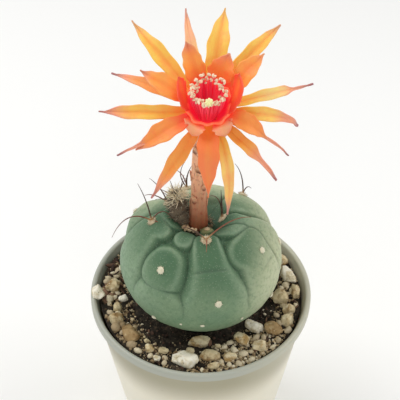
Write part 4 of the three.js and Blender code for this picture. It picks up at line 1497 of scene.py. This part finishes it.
@dataclass
class Gravel:
    """The loose stones of the top dressing, each shaped within its own frame node."""

    frame: dict
    seed: int = 5
    chips: int = 13
    squareness: float = 2.9
    oversize: float = 1.06
    finishes: dict[str, Pumice] = field(
        default_factory=lambda: {
            Slot.TAN.value: Pumice("gravel_tan", "D8C8A0", "9A7B50", "EEE4CA"),
            Slot.BROWN.value: Pumice("gravel_brown", "AE9268", "84673F", "D2BF98"),
            Slot.CREAM.value: Pumice("gravel_cream", "E6D8B2", "B4945F", "F6F0DC"),
            Slot.WHITE.value: Pumice("gravel_white", "F6F0DC", "CEBF99", "FCFAF0"),
        }
    )

    def build(self) -> None:
        """Models every stone of the frame."""
        slots = {row["node"]: row["material_slot"] for row in self.frame["record"]["subparts"]}
        worn = {slot: finish.material() for slot, finish in self.finishes.items()}
        for node in sorted(n for n in self.frame["nodes"] if n.startswith("stone_")):
            number = int(node[-2:])
            stone = self.stone(self.frame["nodes"][node], random.Random(self.seed * 100 + number))
            slot = slots[node]
            settle(stone, f"gravel_{number:02d}", worn[slot], [node])

    def stone(self, node: bpy.types.Object, draw: random.Random) -> bpy.types.Object:
        """Shapes one stone to the size and turn of its node.

        Args:
            node: The frame's solid.
            draw: Source of its chips.

        Returns:
            The mesh object.
        """
        solid = corners(node)
        middle = (solid.min(0) + solid.max(0)) / 2
        _, axes = np.linalg.eigh(np.cov((solid - middle)[:, :2].T))
        frame = np.eye(3)
        frame[:2, :2] = axes[:, ::-1].T
        own = (solid - middle) @ frame.T
        half = (own.max(0) - own.min(0)) / 2
        thing = add(bpy.ops.mesh.primitive_ico_sphere_add, subdivisions=5, radius=MM)
        ball = unit(corners(thing))
        reach = 1 / np.linalg.norm(ball, ord=self.squareness, axis=1)
        for _ in range(self.chips):
            towards = ball @ unit(jitter(draw))
            cut = draw.uniform(0.74, 0.96)
            reach = np.where(towards > 0.2, np.minimum(reach, cut / np.maximum(towards, 0.2)), reach)
        points = ball * reach[:, None] * half * self.oversize
        seed = draw.uniform(0, 50)
        size = float(half.mean())
        swell = rough(points, size * 1.1, 2, seed) * 0.12 * size + rough(points, 0.7, 4, seed) * 0.1
        points = points + ball * swell[:, None]
        reshape(thing, points @ frame + middle)
        finish_with(thing, "SMOOTH", factor=0.4, iterations=1)
        finish_with(thing, "DECIMATE", ratio=0.35)
        return thing


@dataclass(frozen=True)
class Areole:
    """A spiny areole: where it sits, and its spines as half-way point, tip and radius from its root."""

    name: str
    turn: float
    latitude: float
    spines: tuple[tuple[Triple, Triple, float], ...]
    warm: tuple[float, ...]
    pad: float = 1.05


@dataclass
class Areoles:
    """Wool pads on the tubercles, and the few spines of the upper ones."""

    stem: Stem
    spiny: tuple[Areole, ...] = (
        Areole(
            "left", -85, 54.5,
            (((-1, 0.3, 5.6), (-2.8, 1, 10.6), 0.24), ((-5.2, -0.8, 1.6), (-9.3, -2, -3.6), 0.22),
             ((2.4, -0.3, 3.1), (4.6, -0.2, 1.5), 0.22), ((1.6, -0.8, 0.2), (2.9, -1.6, -0.9), 0.18)),
            (0.1, 0.5, 0.3, 0.9),
        ),
        Areole(
            "front", 8, 64,
            (((5.2, 1, 4.6), (10, 2, 5.1), 0.22), ((-3.6, 0.6, 2.8), (-5.8, 1.2, 2.3), 0.22),
             ((0.1, -1.8, 0.5), (0, -3.4, -0.6), 0.2)),
            (0.8, 0.1, 1.0), 1.15,
        ),
        Areole(
            "back_right", 134, 45,
            (((-0.5, 0.2, 5.4), (-2.1, 0.3, 9.2), 0.22), ((0.9, 0.5, 1.6), (2, 0.9, 0.9), 0.2)),
            (0.1, 0.1),
        ),
        Areole(
            "right", 97, 74,
            (((-0.2, 0.1, 4.4), (-0.4, 0.2, 8.6), 0.38), ((-1, 0.3, 5.6), (-3.4, 0.5, 6.2), 0.2)),
            (0.0, 0.2), 1.15,
        ),
        Areole(
            "back", -163, 54,
            (((0.1, 0.3, 3.4), (1.3, 0.8, 6.4), 0.3), ((-1.5, 0.6, 3.6), (-0.4, 1.4, 7), 0.2),
             ((-1.2, 2.8, 1.6), (-3.4, 5.2, 1.4), 0.2)),
            (0.2, 0.4, 0.5),
        ),
        Areole(
            "back_left", -124, 60,
            (((-1.8, 1.2, 3.4), (-4.2, 2.2, 5.6), 0.22), ((-3, 0.4, 1.8), (-5.4, 0.6, 1.6), 0.2)),
            (0.2, 0.5),
        ),
    )
    bald: tuple[Triple, ...] = (
        (12, 14, 1.0), (1, -11, 0.6), (-34.5, 35.5, 1.05), (-36, -18, 0.75), (-80, -2, 0.7),
        (-118, 26, 0.9), (-167, 8, 0.9), (163, 8, 0.9), (128, 8, 0.9), (92, 16, 0.9),
        (63.5, 36.5, 0.95), (62, -15, 0.8), (-14, -12, 0.4), (30, -13, 0.45),
    )
    pad_radius: float = 0.78
    young_radius: float = 0.62
    density: int = 90
    seed: int = 23

    def build(self) -> None:
        """Makes the pads of wool and each areole's spines."""
        draw = random.Random(self.seed)
        pads, hairs, tones = [], [], []
        rows = [((turn, latitude), self.pad_radius * share, 0.85) for turn, latitude, share in self.bald]
        rows += [((areole.turn, areole.latitude), areole.pad, 0.35) for areole in self.spiny]
        rows.append((self.stem.crown_bud, self.young_radius, 0.1))
        for place, radius, tone in rows:
            count = int(self.density * radius)
            pads.append(self.pad(place, radius, tone, draw))
            hairs += self.fuzz(place, radius, count, draw)
            tones += [tone + draw.uniform(-0.25, 0.15) for _ in range(count)]
        fur = strands(hairs, (0.06, 0.025), tones, 4)
        wool = PlantWool("areole_wool", "A39C74", "B79D74", "E2E0C6")
        settle(joined([fur, *pads]), "areole_wool", wool.material())
        wood = SpineWood().material()
        for areole in self.spiny:
            node = f"spines_{areole.name}"
            settle(self.spines(areole), f"areole_{areole.name}", wood, [node])

    def pad(
        self, place: tuple[float, float], radius: float, tone: float, draw: random.Random
    ) -> bpy.types.Object:
        """Models the felted middle of one pad.

        Args:
            place: Turn and latitude on the stem.
            radius: The pad's radius.
            tone: How pale it is.
            draw: Source of its bumps.

        Returns:
            The mesh object.
        """
        pad = lump((2 * radius, 2 * radius, 0.8 * radius), 3, 0.5, 0.1, draw.uniform(0, 20))
        middle, side, up, out = self.stem.seat(place)
        reshape(pad, planted(corners(pad) @ np.stack([side, up, out]) + middle + out * 0.1))
        paint(pad, "tone", tone)
        paint(pad, "along", 1.0)
        return pad

    def fuzz(
        self, place: tuple[float, float], radius: float, count: int, draw: random.Random
    ) -> list[Points]:
        """Routes the short hairs of one pad.

        Args:
            place: Turn and latitude on the stem.
            radius: The pad's radius.
            count: Number of hairs.
            draw: Source of their places.

        Returns:
            Points of each hair.
        """
        middle, side, up, out = self.stem.seat(place)
        routes = []
        for _ in range(count):
            angle = draw.uniform(0, 2 * math.pi)
            spread = radius * math.sqrt(draw.random())
            away = side * math.cos(angle) + up * math.sin(angle)
            root = middle + away * spread * 0.9 + out * (0.35 * radius * (1 - (spread / radius) ** 2))
            length = radius * draw.uniform(0.3, 0.6)
            lean = away * (0.25 + spread / radius) + out * draw.uniform(0.3, 0.8)
            lean = unit(lean + jitter(draw, 0.35))
            routes.append(hair(root, lean, unit(lean + away * 0.5), length, 4))
        return routes

    def spines(self, areole: Areole) -> bpy.types.Object:
        """Models one areole's spines.

        Args:
            areole: Its place and spines.

        Returns:
            The mesh object.
        """
        middle, _, _, out = self.stem.seat((areole.turn, areole.latitude))
        root = middle + out * 0.3
        along = np.linspace(0, 1, 20)
        routes, radii = [], []
        for half, tip, radius in areole.spines:
            thick = radius * 0.8
            routes.append(bend(root, root + np.array(half), root + np.array(tip), len(along)))
            radii.append(thick + (0.05 - thick) * along**1.3)
        return strands(routes, np.array(radii), areole.warm, 8)


@dataclass
class Flower:
    """Where the flower sits and how it leans; its own frame has height along the tube's axis."""

    limb: Triple = (1.4, -14, 67.6)
    lean: float = 33.0

    def out(self, angle: Points | float, radius: Points | float, height: Points | float) -> Points:
        """Places points round the flower's axis.

        Args:
            angle: Degrees from +X, with 90 towards the back and up.
            radius: Distance from the axis.
            height: Distance along the axis from the limb.

        Returns:
            The points over the rim.
        """
        turn, lean = np.radians(angle), math.radians(self.lean)
        x, y, z = np.broadcast_arrays(radius * np.cos(turn), radius * np.sin(turn), height)
        cos, sin = math.cos(lean), math.sin(lean)
        return np.stack([x, y * cos - z * sin, y * sin + z * cos], -1) + np.array(self.limb)


@dataclass(frozen=True)
class Tepal:
    """One tepal: turns at root and tip, half-way and tip points, width, and its own colour."""

    root_turn: float
    tip_turn: float
    half: tuple[float, float]
    tip: tuple[float, float]
    width: float
    blush: float
    faded: float
    curl: float = 0.0
    tail_from: float = 0.8
    tail: float = 0.0
    pale: float = 0.0


@dataclass
class Perianth:
    """The tepals in their two layers and the cup that they grow from."""

    flower: Flower
    thickness: float = 0.34
    cup_grid: tuple[int, int] = (144, 60)
    blade_grid: tuple[int, int] = (12, 44)
    outer_root: tuple[float, float] = (3.5, -1.2)
    inner_root: tuple[float, float] = (3.9, 0.4)
    outer: tuple[Tepal, ...] = (
        Tepal(109, 102, (12.4, 1.2), (21.4, -1), 2.4, 0.3, 0.6, 0.2, 0.45, pale=0.5),
        Tepal(81, 80.5, (13, 1.2), (20.5, 0), 4.1, 0.08, 0.15),
        Tepal(51, 50, (13.7, 1.2), (22.3, -1), 3.3, 0.15, 0.4),
        Tepal(6, 14, (11.7, 0.4), (21.2, -2), 2.7, 0.0, 1.0, 0.0, 0.66, 0.6, 0.4),
        Tepal(-16, -7.5, (11.5, 1), (19.2, -3), 3, 0.1, 0.9, 1.6, 0.6, 1.8, 0.1),
        Tepal(-34, -28, (11, 0.4), (18.6, -4.4), 2.2, 0.7, 1.0, 0.9, 0.4, 0.7),
        Tepal(-51, -44, (12.2, -0.6), (19.4, -6), 2.8, 0.5, 0.9, 0.9, 0.5, 1.3),
        Tepal(-68, -79, (13.2, -2.2), (19.9, -9), 2.4, 0.2, 0.7, pale=0.2),
        Tepal(-117, -124, (12.8, -2.2), (20.3, -7), 2.9, 0.6, 0.8, 0.4, 0.7),
        Tepal(-144, -154, (12.8, -1.2), (20.2, -4), 2.1, 0.8, 1.0, 0.5, 0.55, 0.9),
        Tepal(-166, -178, (12.8, 0.6), (21.5, -1), 3.2, 0.2, 0.8, 0.3, 0.7),
        Tepal(164, 158.5, (13.1, 0.4), (20.7, -2), 2.2, 0.7, 1.0, 0.3, 0.7, pale=0.15),
        Tepal(137, 130, (14.5, 1.2), (23.5, -1), 3.2, 0.12, 0.4),
        Tepal(-90, -90, (9.8, -0.6), (16.4, -8), 4.6, 0.95, 0.15, 0.0, 0.35),
    )
    inner: tuple[Tepal, ...] = (
        Tepal(114, 112, (7.6, 3.8), (11.3, 6), 4.3, 0.2, 0.5),
        Tepal(68, 65, (6.8, 3.6), (9.4, 5), 5, 0.5, 0.4),
        Tepal(32, 40, (9, 3.9), (13.9, 4), 4, 0.2, 0.3),
        Tepal(-14, 36, (5.3, 3.2), (7.2, 5.8), 5, 1.0, 0.0),
        Tepal(-28, -31, (8.6, 1.6), (13, 0), 3.7, 0.4, 0.2),
        Tepal(-58, -62, (5.5, 0.8), (6.9, -0.8), 4.4, 1.0, 0.1, pale=0.4),
        Tepal(-122, -118, (5.5, 0.8), (6.7, -0.8), 4.4, 1.0, 0.1, pale=0.4),
        Tepal(-142, -150, (10.2, 1.2), (16.2, -3), 3.9, 0.4, 0.6),
        Tepal(188, 148, (4.9, 3.2), (6.6, 5.8), 4.6, 1.0, 0.0),
        Tepal(167, 155.5, (9, 3.2), (14.3, 3), 3.9, 0.2, 0.7),
    )
    cup: tuple[tuple[float, float], ...] = (
        (2.2, -8.8), (2.7, -5.2), (3.4, -1.9), (4.3, 0.4), (4.7, 1.2), (4.4, 1.6), (3.8, 0.6), (2.9, -1.4),
        (2.1, -5), (1.8, -8),
    )
    outer_skin: TepalSkin = TepalSkin("tepal_outer", "F0A03E", "EECC56", "F07434", "EC9238", "A2666A", 0.2)
    inner_skin: TepalSkin = TepalSkin("tepal_inner", "F0443A", "F8B44C", "F25A3A", "F08A38", "C0705E", 0.4)
    seed: int = 31

    def build(self) -> None:
        """Makes the cup and both layers of tepals."""
        cup = skin(*self.cup_grid, self.cup_wall)
        closed(cup)
        settle(cup, "perianth_cup", Throat().material(), ["perianth"])
        draw = random.Random(self.seed)
        layers = (
            ("outer", self.outer, self.outer_root, self.outer_skin),
            ("inner", self.inner, self.inner_root, self.inner_skin),
        )
        for name, tepals, root, finish in layers:
            blades = [self.blade(tepal, root, draw.uniform(0, 30)) for tepal in tepals]
            settle(joined(blades), f"tepals_{name}", finish.material(), ["perianth"])

    def cup_wall(self, across: Points, along: Points) -> Points:
        """Lays the cup's surface, from its foot outside over the wavy lip to its foot inside.

        Args:
            across: Place round the cup.
            along: Place from the outer foot to the inner one.

        Returns:
            The points.
        """
        route = route_through([(r, 0, h) for r, h in self.cup], 400)
        place = along * (len(route) - 1)
        radius = np.interp(place, np.arange(len(route)), route[:, 0])
        height = np.interp(place, np.arange(len(route)), route[:, 2])
        angle = across * 360
        near_lip = smooth(radius, 3.0, 4.6)
        folds = np.sin(np.radians(angle * 11 + 40)) * 0.18 + np.sin(np.radians(angle * 5)) * 0.14
        return planted(self.flower.out(angle, radius + folds * near_lip, height + folds * near_lip * 0.8))

    def blade(self, tepal: Tepal, root: tuple[float, float], seed: float) -> bpy.types.Object:
        """Models one tepal.

        Args:
            tepal: Its size, place and colour.
            root: Radius and height of its root.
            seed: Makes its waves its own.

        Returns:
            The mesh object.
        """
        stops = [(radius, 0, height) for radius, height in (root, tepal.half, tepal.tip)]
        spine = route_through(stops, 200)
        steps = np.linspace(0, 1, len(spine))

        def form(across: Points, along: Points) -> Points:
            """Places points of the blade.

            Args:
                across: Place from one edge to the other.
                along: Place from root to tip.

            Returns:
                The points.
            """
            curled = tepal.curl * smooth(along, 0.72, 1.0) ** 2
            radius = np.interp(along, steps, spine[:, 0]) - 0.8 * curled
            height = np.interp(along, steps, spine[:, 2]) - 1.6 * curled
            side = 2 * across - 1
            swell = np.sin(np.pi * np.minimum(1, 0.12 + 0.88 * along)) ** 0.9
            wide = tepal.width / 2 * (0.12 + 0.88 * swell)
            past = np.clip((along - tepal.tail_from) / (1 - tepal.tail_from), 0, 1)
            if tepal.tail:
                thin = tepal.tail / 2 * (1 - 0.7 * past)
                wide = wide + (np.minimum(thin, wide) - wide) * smooth(past, -0.1, 0.3)
            else:
                wide = wide * (1 - 0.86 * past**1.5)
            ragged = 0.06 * np.sin(9 * along + seed) + 0.06 * np.sin(25 * along + 2 * seed + side)
            wide = wide * (1 + ragged)
            wave = 0.2 * np.sin(14 * along + seed + 0.8 * side) * side * smooth(along, 0.1, 0.5)
            twist = 0.5 * tepal.curl * smooth(along, 0.5, 1.0) * side * wide
            lift = 0.3 * wide * side**2 - 0.16 * np.exp(-((side / 0.16) ** 2)) + wave + twist
            turn = tepal.root_turn + (tepal.tip_turn - tepal.root_turn) * along
            middle = self.flower.out(turn, radius, height + lift)
            sideways = self.flower.out(turn + 90, 1.0, 0) - self.flower.out(turn, 0.0, 0)
            return planted(middle + sideways * (side * wide)[:, None])

        blade = skin(*self.blade_grid, form)
        finish_with(blade, "SOLIDIFY", thickness=self.thickness * MM, offset=0.0)
        finish_with(blade, "SUBSURF", levels=1, render_levels=1)
        paint(blade, "blush", tepal.blush)
        paint(blade, "faded", tepal.faded)
        paint(blade, "pale", tepal.pale)
        paint(blade, "tail_from", tepal.tail_from)
        return blade


@dataclass
class FlowerTube:
    """The slender floral tube with its scales."""

    flower: Flower
    stops: tuple[Triple, ...] = ((-0.7, 0.3, 20.4), (-0.5, -0.5, 31), (-0.3, -2.2, 42), (0.3, -4.9, 51))
    foot_radius: float = 2.3
    radius: float = 1.75
    top_radius: float = 2.2
    cup_depth: float = 8.8
    straight: float = 3.0
    grid: tuple[int, int] = (72, 220)
    scales: int = 16

    def route(self, count: int) -> Points:
        """Middle line of the tube from the crown to the cup."""
        ends = [self.flower.out(0, 0, -self.cup_depth - under) for under in (self.straight, 0.1)]
        return route_through([*self.stops, *ends], count)

    def girth(self, along: Points) -> Points:
        """Radius along the tube."""
        low = self.radius + (self.foot_radius - self.radius) * (1 - smooth(along, 0.0, 0.3))
        return low + (self.top_radius - self.radius) * smooth(along, 0.82, 1.0)

    def wall(self, across: Points, along: Points, clear: float = 0.0) -> Points:
        """Surface of the tube, with its ends closed.

        Args:
            across: Place round the tube.
            along: Place along it.
            clear: Height over the skin.

        Returns:
            The points.
        """
        line = self.route(160)
        heads = unit(np.gradient(line, axis=0))
        sides = unit(np.cross(heads, [[0, 1, 0]]))
        others = np.cross(sides, heads)
        inner = np.clip((along - 0.03) / 0.94, 0, 1)
        ends = np.minimum(smooth(along, 0.0, 0.03), 1 - smooth(along, 0.97, 1.0))
        place = inner * (len(line) - 1)
        index = np.arange(len(line))
        middle, side, other = (
            np.stack([np.interp(place, index, part[:, i]) for i in range(3)], -1)
            for part in (line, sides, others)
        )
        angle = across * 2 * np.pi
        ribs = 0.07 * np.cos(9 * angle + 6 * inner) + 0.05 * np.cos(4 * angle - 9 * inner)
        radius = (self.girth(inner) + ribs + clear) * ends
        return planted(ringed(middle, side, other, angle, radius))

    def build(self) -> None:
        """Models the tube and the scales on it."""
        parts = [skin(*self.grid, self.wall)]
        for index in range(self.scales):
            along = 0.16 + 0.76 * index / (self.scales - 1)
            parts.append(self.scale(along, 0.38 * index + 0.1))
        tube = joined(parts)
        closed(tube)
        settle(tube, "tube_with_scales", TubeSkin().material(), ["flower_tube"])

    def scale(self, along: float, across: float) -> bpy.types.Object:
        """Models one thin scale that lies along the tube.

        Args:
            along: Place of its root along the tube.
            across: Place round the tube.

        Returns:
            The mesh object.
        """

        def form(u: Points, v: Points) -> Points:
            """Places points of the scale."""
            half_width = 0.075 * np.sin(np.pi * (0.16 + 0.84 * v)) ** 0.8
            return self.wall(across + (2 * u - 1) * half_width, along + 0.07 * v, 0.06 + 0.3 * v * v)

        scale = skin(6, 10, form)
        finish_with(scale, "SOLIDIFY", thickness=0.14 * MM, offset=0.0)
        return scale


@dataclass
class Stamens:
    """Crimson filaments that end in a ring of cream anthers."""

    flower: Flower
    count: int = 98
    root: tuple[float, float] = (1.25, -7.4)
    top: tuple[float, float] = (3.35, 7.2)
    front_inset: float = 0.22
    filament_radius: float = 0.16
    anther: Triple = (0.85, 0.56, 0.54)
    seed: int = 41

    def build(self) -> None:
        """Models the filaments and anthers."""
        draw = random.Random(self.seed)
        routes, places, axes = [], [], []
        for index in range(self.count):
            angle = 360 * index / self.count + draw.uniform(-4, 4)
            inward = draw.random() ** 1.8 * 1.3
            nearer = 1 - self.front_inset * max(0.0, -math.sin(math.radians(angle)))
            radius = (self.top[0] - inward + draw.uniform(-0.12, 0.3)) * nearer
            height = self.top[1] + draw.uniform(-0.7, 0.45) - inward * 0.6
            root = self.flower.out(angle, self.root[0] + draw.uniform(-0.3, 0.2), self.root[1])
            bowed = angle + draw.uniform(-7, 7)
            half = self.flower.out(bowed, radius * draw.uniform(0.75, 0.92), height * 0.1)
            tip = self.flower.out(angle, radius, height)
            routes.append(route_through([root, half, tip], 12))
            places.append(tip)
            axes.append(tumbled(draw, draw.uniform(0.8, 1.15)))
        tones = [draw.random() for _ in routes]
        threads = strands(routes, (self.filament_radius, 0.09), tones, 6)
        # the filaments' last number, 0.25, is their painted glow
        red = SoftGrain("filament", "D02443", "F8586A", 0.3, 0.25)
        settle(threads, "filaments", red.material(), ["stamens"])
        grain = lump(self.anther, 2, 0.4, 0.07, 4.0)
        pollen = SoftGrain("anther", "D8A888", "F9E6C6")
        heads = strew(grain, np.array(places), axes, tones)
        settle(heads, "anthers", pollen.material(), ["stamens"])


@dataclass
class Style:
    """The style with its lobed stigma."""

    flower: Flower
    root: float = -7.6
    radius: float = 0.35
    stigma: Triple = (0.05, -2.75, 8.9)
    lobes: int = 7
    lobe: Triple = (0.95, 0.62, 0.6)
    seed: int = 47

    def build(self) -> None:
        """Models the style and the stigma's lobes."""
        draw = random.Random(self.seed)
        x, y, z = self.stigma
        top = self.flower.out(math.degrees(math.atan2(y, x)), math.hypot(x, y), z)
        stops = [self.flower.out(-90, 0.2, self.root), self.flower.out(-90, 0.7, 0.0), top]
        style = strands([route_through(stops, 24)], (self.radius, 0.3), [0.3], 12)
        lobe = lump(self.lobe, 3, 0.5, 0.05, 2.0)
        reshape(lobe, corners(lobe) + [self.lobe[0] * 0.42, 0, 0])
        axis = unit(self.flower.out(0, 0, 1.0) - self.flower.out(0, 0, 0.0))
        side = unit(np.cross(axis, [1, 0, 0]))
        axes = []
        for index in range(self.lobes):
            angle = 2 * math.pi * index / self.lobes + draw.uniform(-0.15, 0.15)
            away = side * math.cos(angle) + np.cross(axis, side) * math.sin(angle)
            along = unit(away + axis * draw.uniform(0.35, 0.7))
            axes.append(np.stack([along, np.cross(axis, away), np.cross(along, np.cross(axis, away))]))
        tones = [draw.uniform(0.5, 1) for _ in axes]
        star = strew(lobe, np.tile(top, (self.lobes, 1)), axes, tones)
        pale = SoftGrain("stigma_skin", "CFC56E", "F2EFB2")
        settle(joined([star, style]), "style_and_stigma", pale.material(), ["style"])


@dataclass
class Bud:
    """The withered woolly bud beside the flower, with a few short spines."""

    foot: Triple = (-4.4, 0.4, 22.6)
    top: Triple = (-6.2, 1.6, 31)
    radius: float = 2.6
    tuft_shift: Triple = (0.7, -0.3, 0.2)
    hairs: int = 620
    tuft_share: float = 0.35
    spines: tuple[Knot, ...] = (
        (0.75, -2.8, 0.3, 2), (0.8, -0.9, 0.5, 3.4), (0.6, 1.4, 1.2, 6.4), (0.75, 1.9, 0.8, 4.4),
        (0.45, -2.8, -0.2, 4.2), (0.7, -3.7, 0.4, -0.2),
    )
    seed: int = 53

    def girth(self, climb: Points | float) -> Points:
        """Radius of the bud's core at a share of its height."""
        return self.radius * np.sin(np.pi * (0.3 + 0.68 * climb)) ** 0.7

    def build(self) -> None:
        """Models the core, its wool and its spines."""
        draw = random.Random(self.seed)
        foot, top = np.array(self.foot), np.array(self.top)
        axis = unit(top - foot)
        side = unit(np.cross(axis, [0, 1, 0]))
        other = np.cross(axis, side)

        def core(across: Points, along: Points) -> Points:
            """Places points of the core.

            Args:
                across: Place round the bud.
                along: Place from foot to top.

            Returns:
                The points.
            """
            angle = across * 2 * np.pi
            climb = np.clip((along - 0.1) / 0.8, 0, 1)
            ends = np.minimum(smooth(along, 0, 0.1), 1 - smooth(along, 0.9, 1.0))
            middle = foot + (top - foot) * climb[:, None]
            points = ringed(middle, side, other, angle, self.girth(climb) * ends * 0.86)
            return planted(points + unit(points - middle) * rough(points, 0.9, 3, 5.0)[:, None] * 0.25)

        body = skin(40, 40, core)
        closed(body)
        paint(body, "tone", 0.1)
        paint(body, "along", 0.5)
        routes, tones = [], []
        for index in range(self.hairs):
            tuft = index < self.tuft_share * self.hairs
            angle = draw.uniform(0, 2 * math.pi)
            climb = draw.uniform(0.72, 0.95) if tuft else draw.random()
            away = side * math.cos(angle) + other * math.sin(angle)
            root = foot + (top - foot) * climb + away * self.girth(climb) * (0.3 if tuft else 0.8)
            root = root + np.array(self.tuft_shift) * tuft
            length = draw.uniform(1.8, 3.2) if tuft else draw.uniform(0.6, 1.5)
            lean = unit(away * 0.8 + axis * draw.uniform(0.0, 1.2) * (1.0 if tuft else 0.5))
            lean = unit(lean + jitter(draw, 0.25))
            curl = unit(lean + jitter(draw, 0.3))
            routes.append(hair(root, lean, curl, length, 6))
            tones.append(draw.uniform(0.75, 1.0) if tuft else draw.random() ** 2 * 0.5)
        fur = strands(routes, (0.12, 0.035), tones, 4)
        wool = PlantWool("bud_wool", "34261A", "4C3A26", "F0E4C4", 0.08)
        settle(joined([fur, body]), "bud_wool", wool.material(), ["woolly_bud"])
        lines = []
        for climb, *tip in self.spines:
            root = foot + (top - foot) * climb
            end = root + np.array(tip) + unit(np.array(tip)) * 1.2
            lines.append(bend(root, (root + end) / 2 + np.array([0, 0, 0.35]), end, 12))
        needles = strands(lines, (0.15, 0.05), [0.15] * len(lines), 6)
        settle(needles, "bud_spines", SpineWood().material(), ["woolly_bud"])


@dataclass
class CrownWool:
    """Young wool round the foot of the flower, and one dried tan areole among it."""

    stem: Stem
    middle: tuple[float, float] = (-0.7, 0.3)
    radius: float = 2.9
    level: float = 22.2
    tufts: int = 14
    hairs: int = 200
    dried: tuple[float, float] = (-53, 77.5)
    flakes: int = 7
    seed: int = 61

    def ring(self, turn: float, out: float, up: float) -> Points:
        """One point of the ring round the tube's foot, moved outwards and up."""
        return around(turn, self.radius + out, self.level + up) + np.array([*self.middle, 0])

    def build(self) -> None:
        """Models tufts in a ring round the tube's foot, and the dried areole."""
        draw = random.Random(self.seed)
        routes, tones, lumps = [], [], []
        for index in range(self.tufts):
            turn = -180 + 360 * index / self.tufts + draw.uniform(-8, 8)
            place = self.ring(turn, draw.uniform(-0.3, 0.5), draw.uniform(-0.6, 0.1))
            tuft = lump((1.5, 1.2, 0.9), 2, 0.6, 0.12, draw.uniform(0, 20))
            reshape(tuft, planted(corners(tuft) @ tumbled(draw, draw.uniform(0.8, 1.1)) + place))
            paint(tuft, "tone", draw.uniform(0.0, 0.3))
            paint(tuft, "along", 0.6)
            lumps.append(tuft)
        for _ in range(self.hairs):
            turn = draw.uniform(-180, 180)
            root = self.ring(turn, draw.uniform(-0.6, 0.6), draw.uniform(-0.6, 0.3))
            sway = np.array([draw.gauss(0, 0.5), draw.gauss(0, 0.5), draw.uniform(0.3, 0.9)])
            lean = unit(around(turn, 1.0, 0.0) * 0.6 + sway)
            curl = unit(lean + jitter(draw, 0.7))
            routes.append(hair(root, lean, curl, draw.uniform(0.5, 1.1), 5))
            tones.append(draw.random() ** 2)
        fur = strands(routes, (0.06, 0.025), tones, 4)
        wool = PlantWool("crown_wool", "3E3024", "564632", "B5A67E", 0.1)
        settle(joined([fur, *lumps]), "crown_tufts", wool.material(), ["crown_wool"])
        self.dry_areole(draw)

    def dry_areole(self, draw: random.Random) -> None:
        """Models the dried areole as a few flat flakes on the stem.

        Args:
            draw: Source of the flakes' turns and tones.
        """
        middle, side, up, out = self.stem.seat(self.dried)
        flakes = []
        for index in range(self.flakes):
            flake = lump((1.6, 1.2, 0.7), 2, 0.5, 0.1, draw.uniform(0, 20))
            shift = side * (index - 3.6) * 0.46 + up * draw.uniform(-0.1, 0.5)
            shift = shift + out * draw.uniform(0.9, 1.4)
            reshape(flake, planted(corners(flake) @ tumbled(draw, 1.0) + middle + shift))
            paint(flake, "tone", draw.uniform(0.35, 1.0))
            flakes.append(flake)
        husk = Crumbs("dried_areole", "B0875E", "F0DAB2", 0.5, 0.12)
        settle(joined(flakes), "dried_areole", husk.material())


@dataclass
class Studio:
    """Camera, lights and floor."""

    camera_place: Triple = (-0.2, -161.3, 229.6)
    camera_tilt: float = 47.1
    lens: float = 86.4
    sky: float = 0.6
    aim: float = 75.0

    def build(self) -> None:
        """Sets up the studio."""
        scene = bpy.context.scene
        eye = bpy.data.cameras.new("camera")
        eye.lens = self.lens
        eye.sensor_width = 36.0
        eye.clip_start = 0.01
        camera = bpy.data.objects.new("camera", eye)
        camera.location = Vector(self.camera_place) * MM
        camera.rotation_euler = (math.radians(self.camera_tilt), 0, 0)
        scene.collection.objects.link(camera)
        scene.camera = camera
        scene.view_settings.view_transform = "Standard"
        world = scene.world or bpy.data.worlds.new("world")
        scene.world = world
        world.use_nodes = True
        background = next(n for n in world.node_tree.nodes if n.type == "BACKGROUND")
        background.inputs["Color"].default_value = (1.0, 1.0, 1.0, 1.0)
        background.inputs["Strength"].default_value = self.sky
        self.lamp("key", (-260, 130, 420), 300, 1.0)
        self.lamp("side", (330, 60, 330), 260, 0.5)
        self.lamp("front", (60, -420, 260), 320, 0.35)
        floor = add(bpy.ops.mesh.primitive_plane_add, size=6.0)
        floor.name = "floor"
        floor.data.materials.append(Paper().material())

    def lamp(self, name: str, place: Triple, size: float, power: float) -> None:
        """Adds a soft square light aimed at the plant.

        Args:
            name: Its name.
            place: Where it hangs.
            size: Its width.
            power: Its power in watts.
        """
        data = bpy.data.lights.new(name, "AREA")
        data.size = size * MM
        data.energy = power
        light = bpy.data.objects.new(name, data)
        light.location = Vector(place) * MM
        aim = Vector((0, 0, self.aim * MM)) - light.location
        light.rotation_mode = "QUATERNION"
        light.rotation_quaternion = aim.to_track_quat("-Z", "Y")
        bpy.context.scene.collection.objects.link(light)


def main() -> None:
    """Builds every sub-assembly in order."""
    logging.basicConfig(level=logging.INFO, format="%(name)s %(message)s")
    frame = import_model()
    Studio().build()
    pot, stem, flower = Pot(), Stem(), Flower()
    pot.build()
    Soil().build(pot)
    Gravel(frame).build()
    stem.build()
    Areoles(stem).build()
    Bud().build()
    CrownWool(stem).build()
    FlowerTube(flower).build()
    Perianth(flower).build()
    Stamens(flower).build()
    Style(flower).build()


if __name__ == "__main__":
    main()
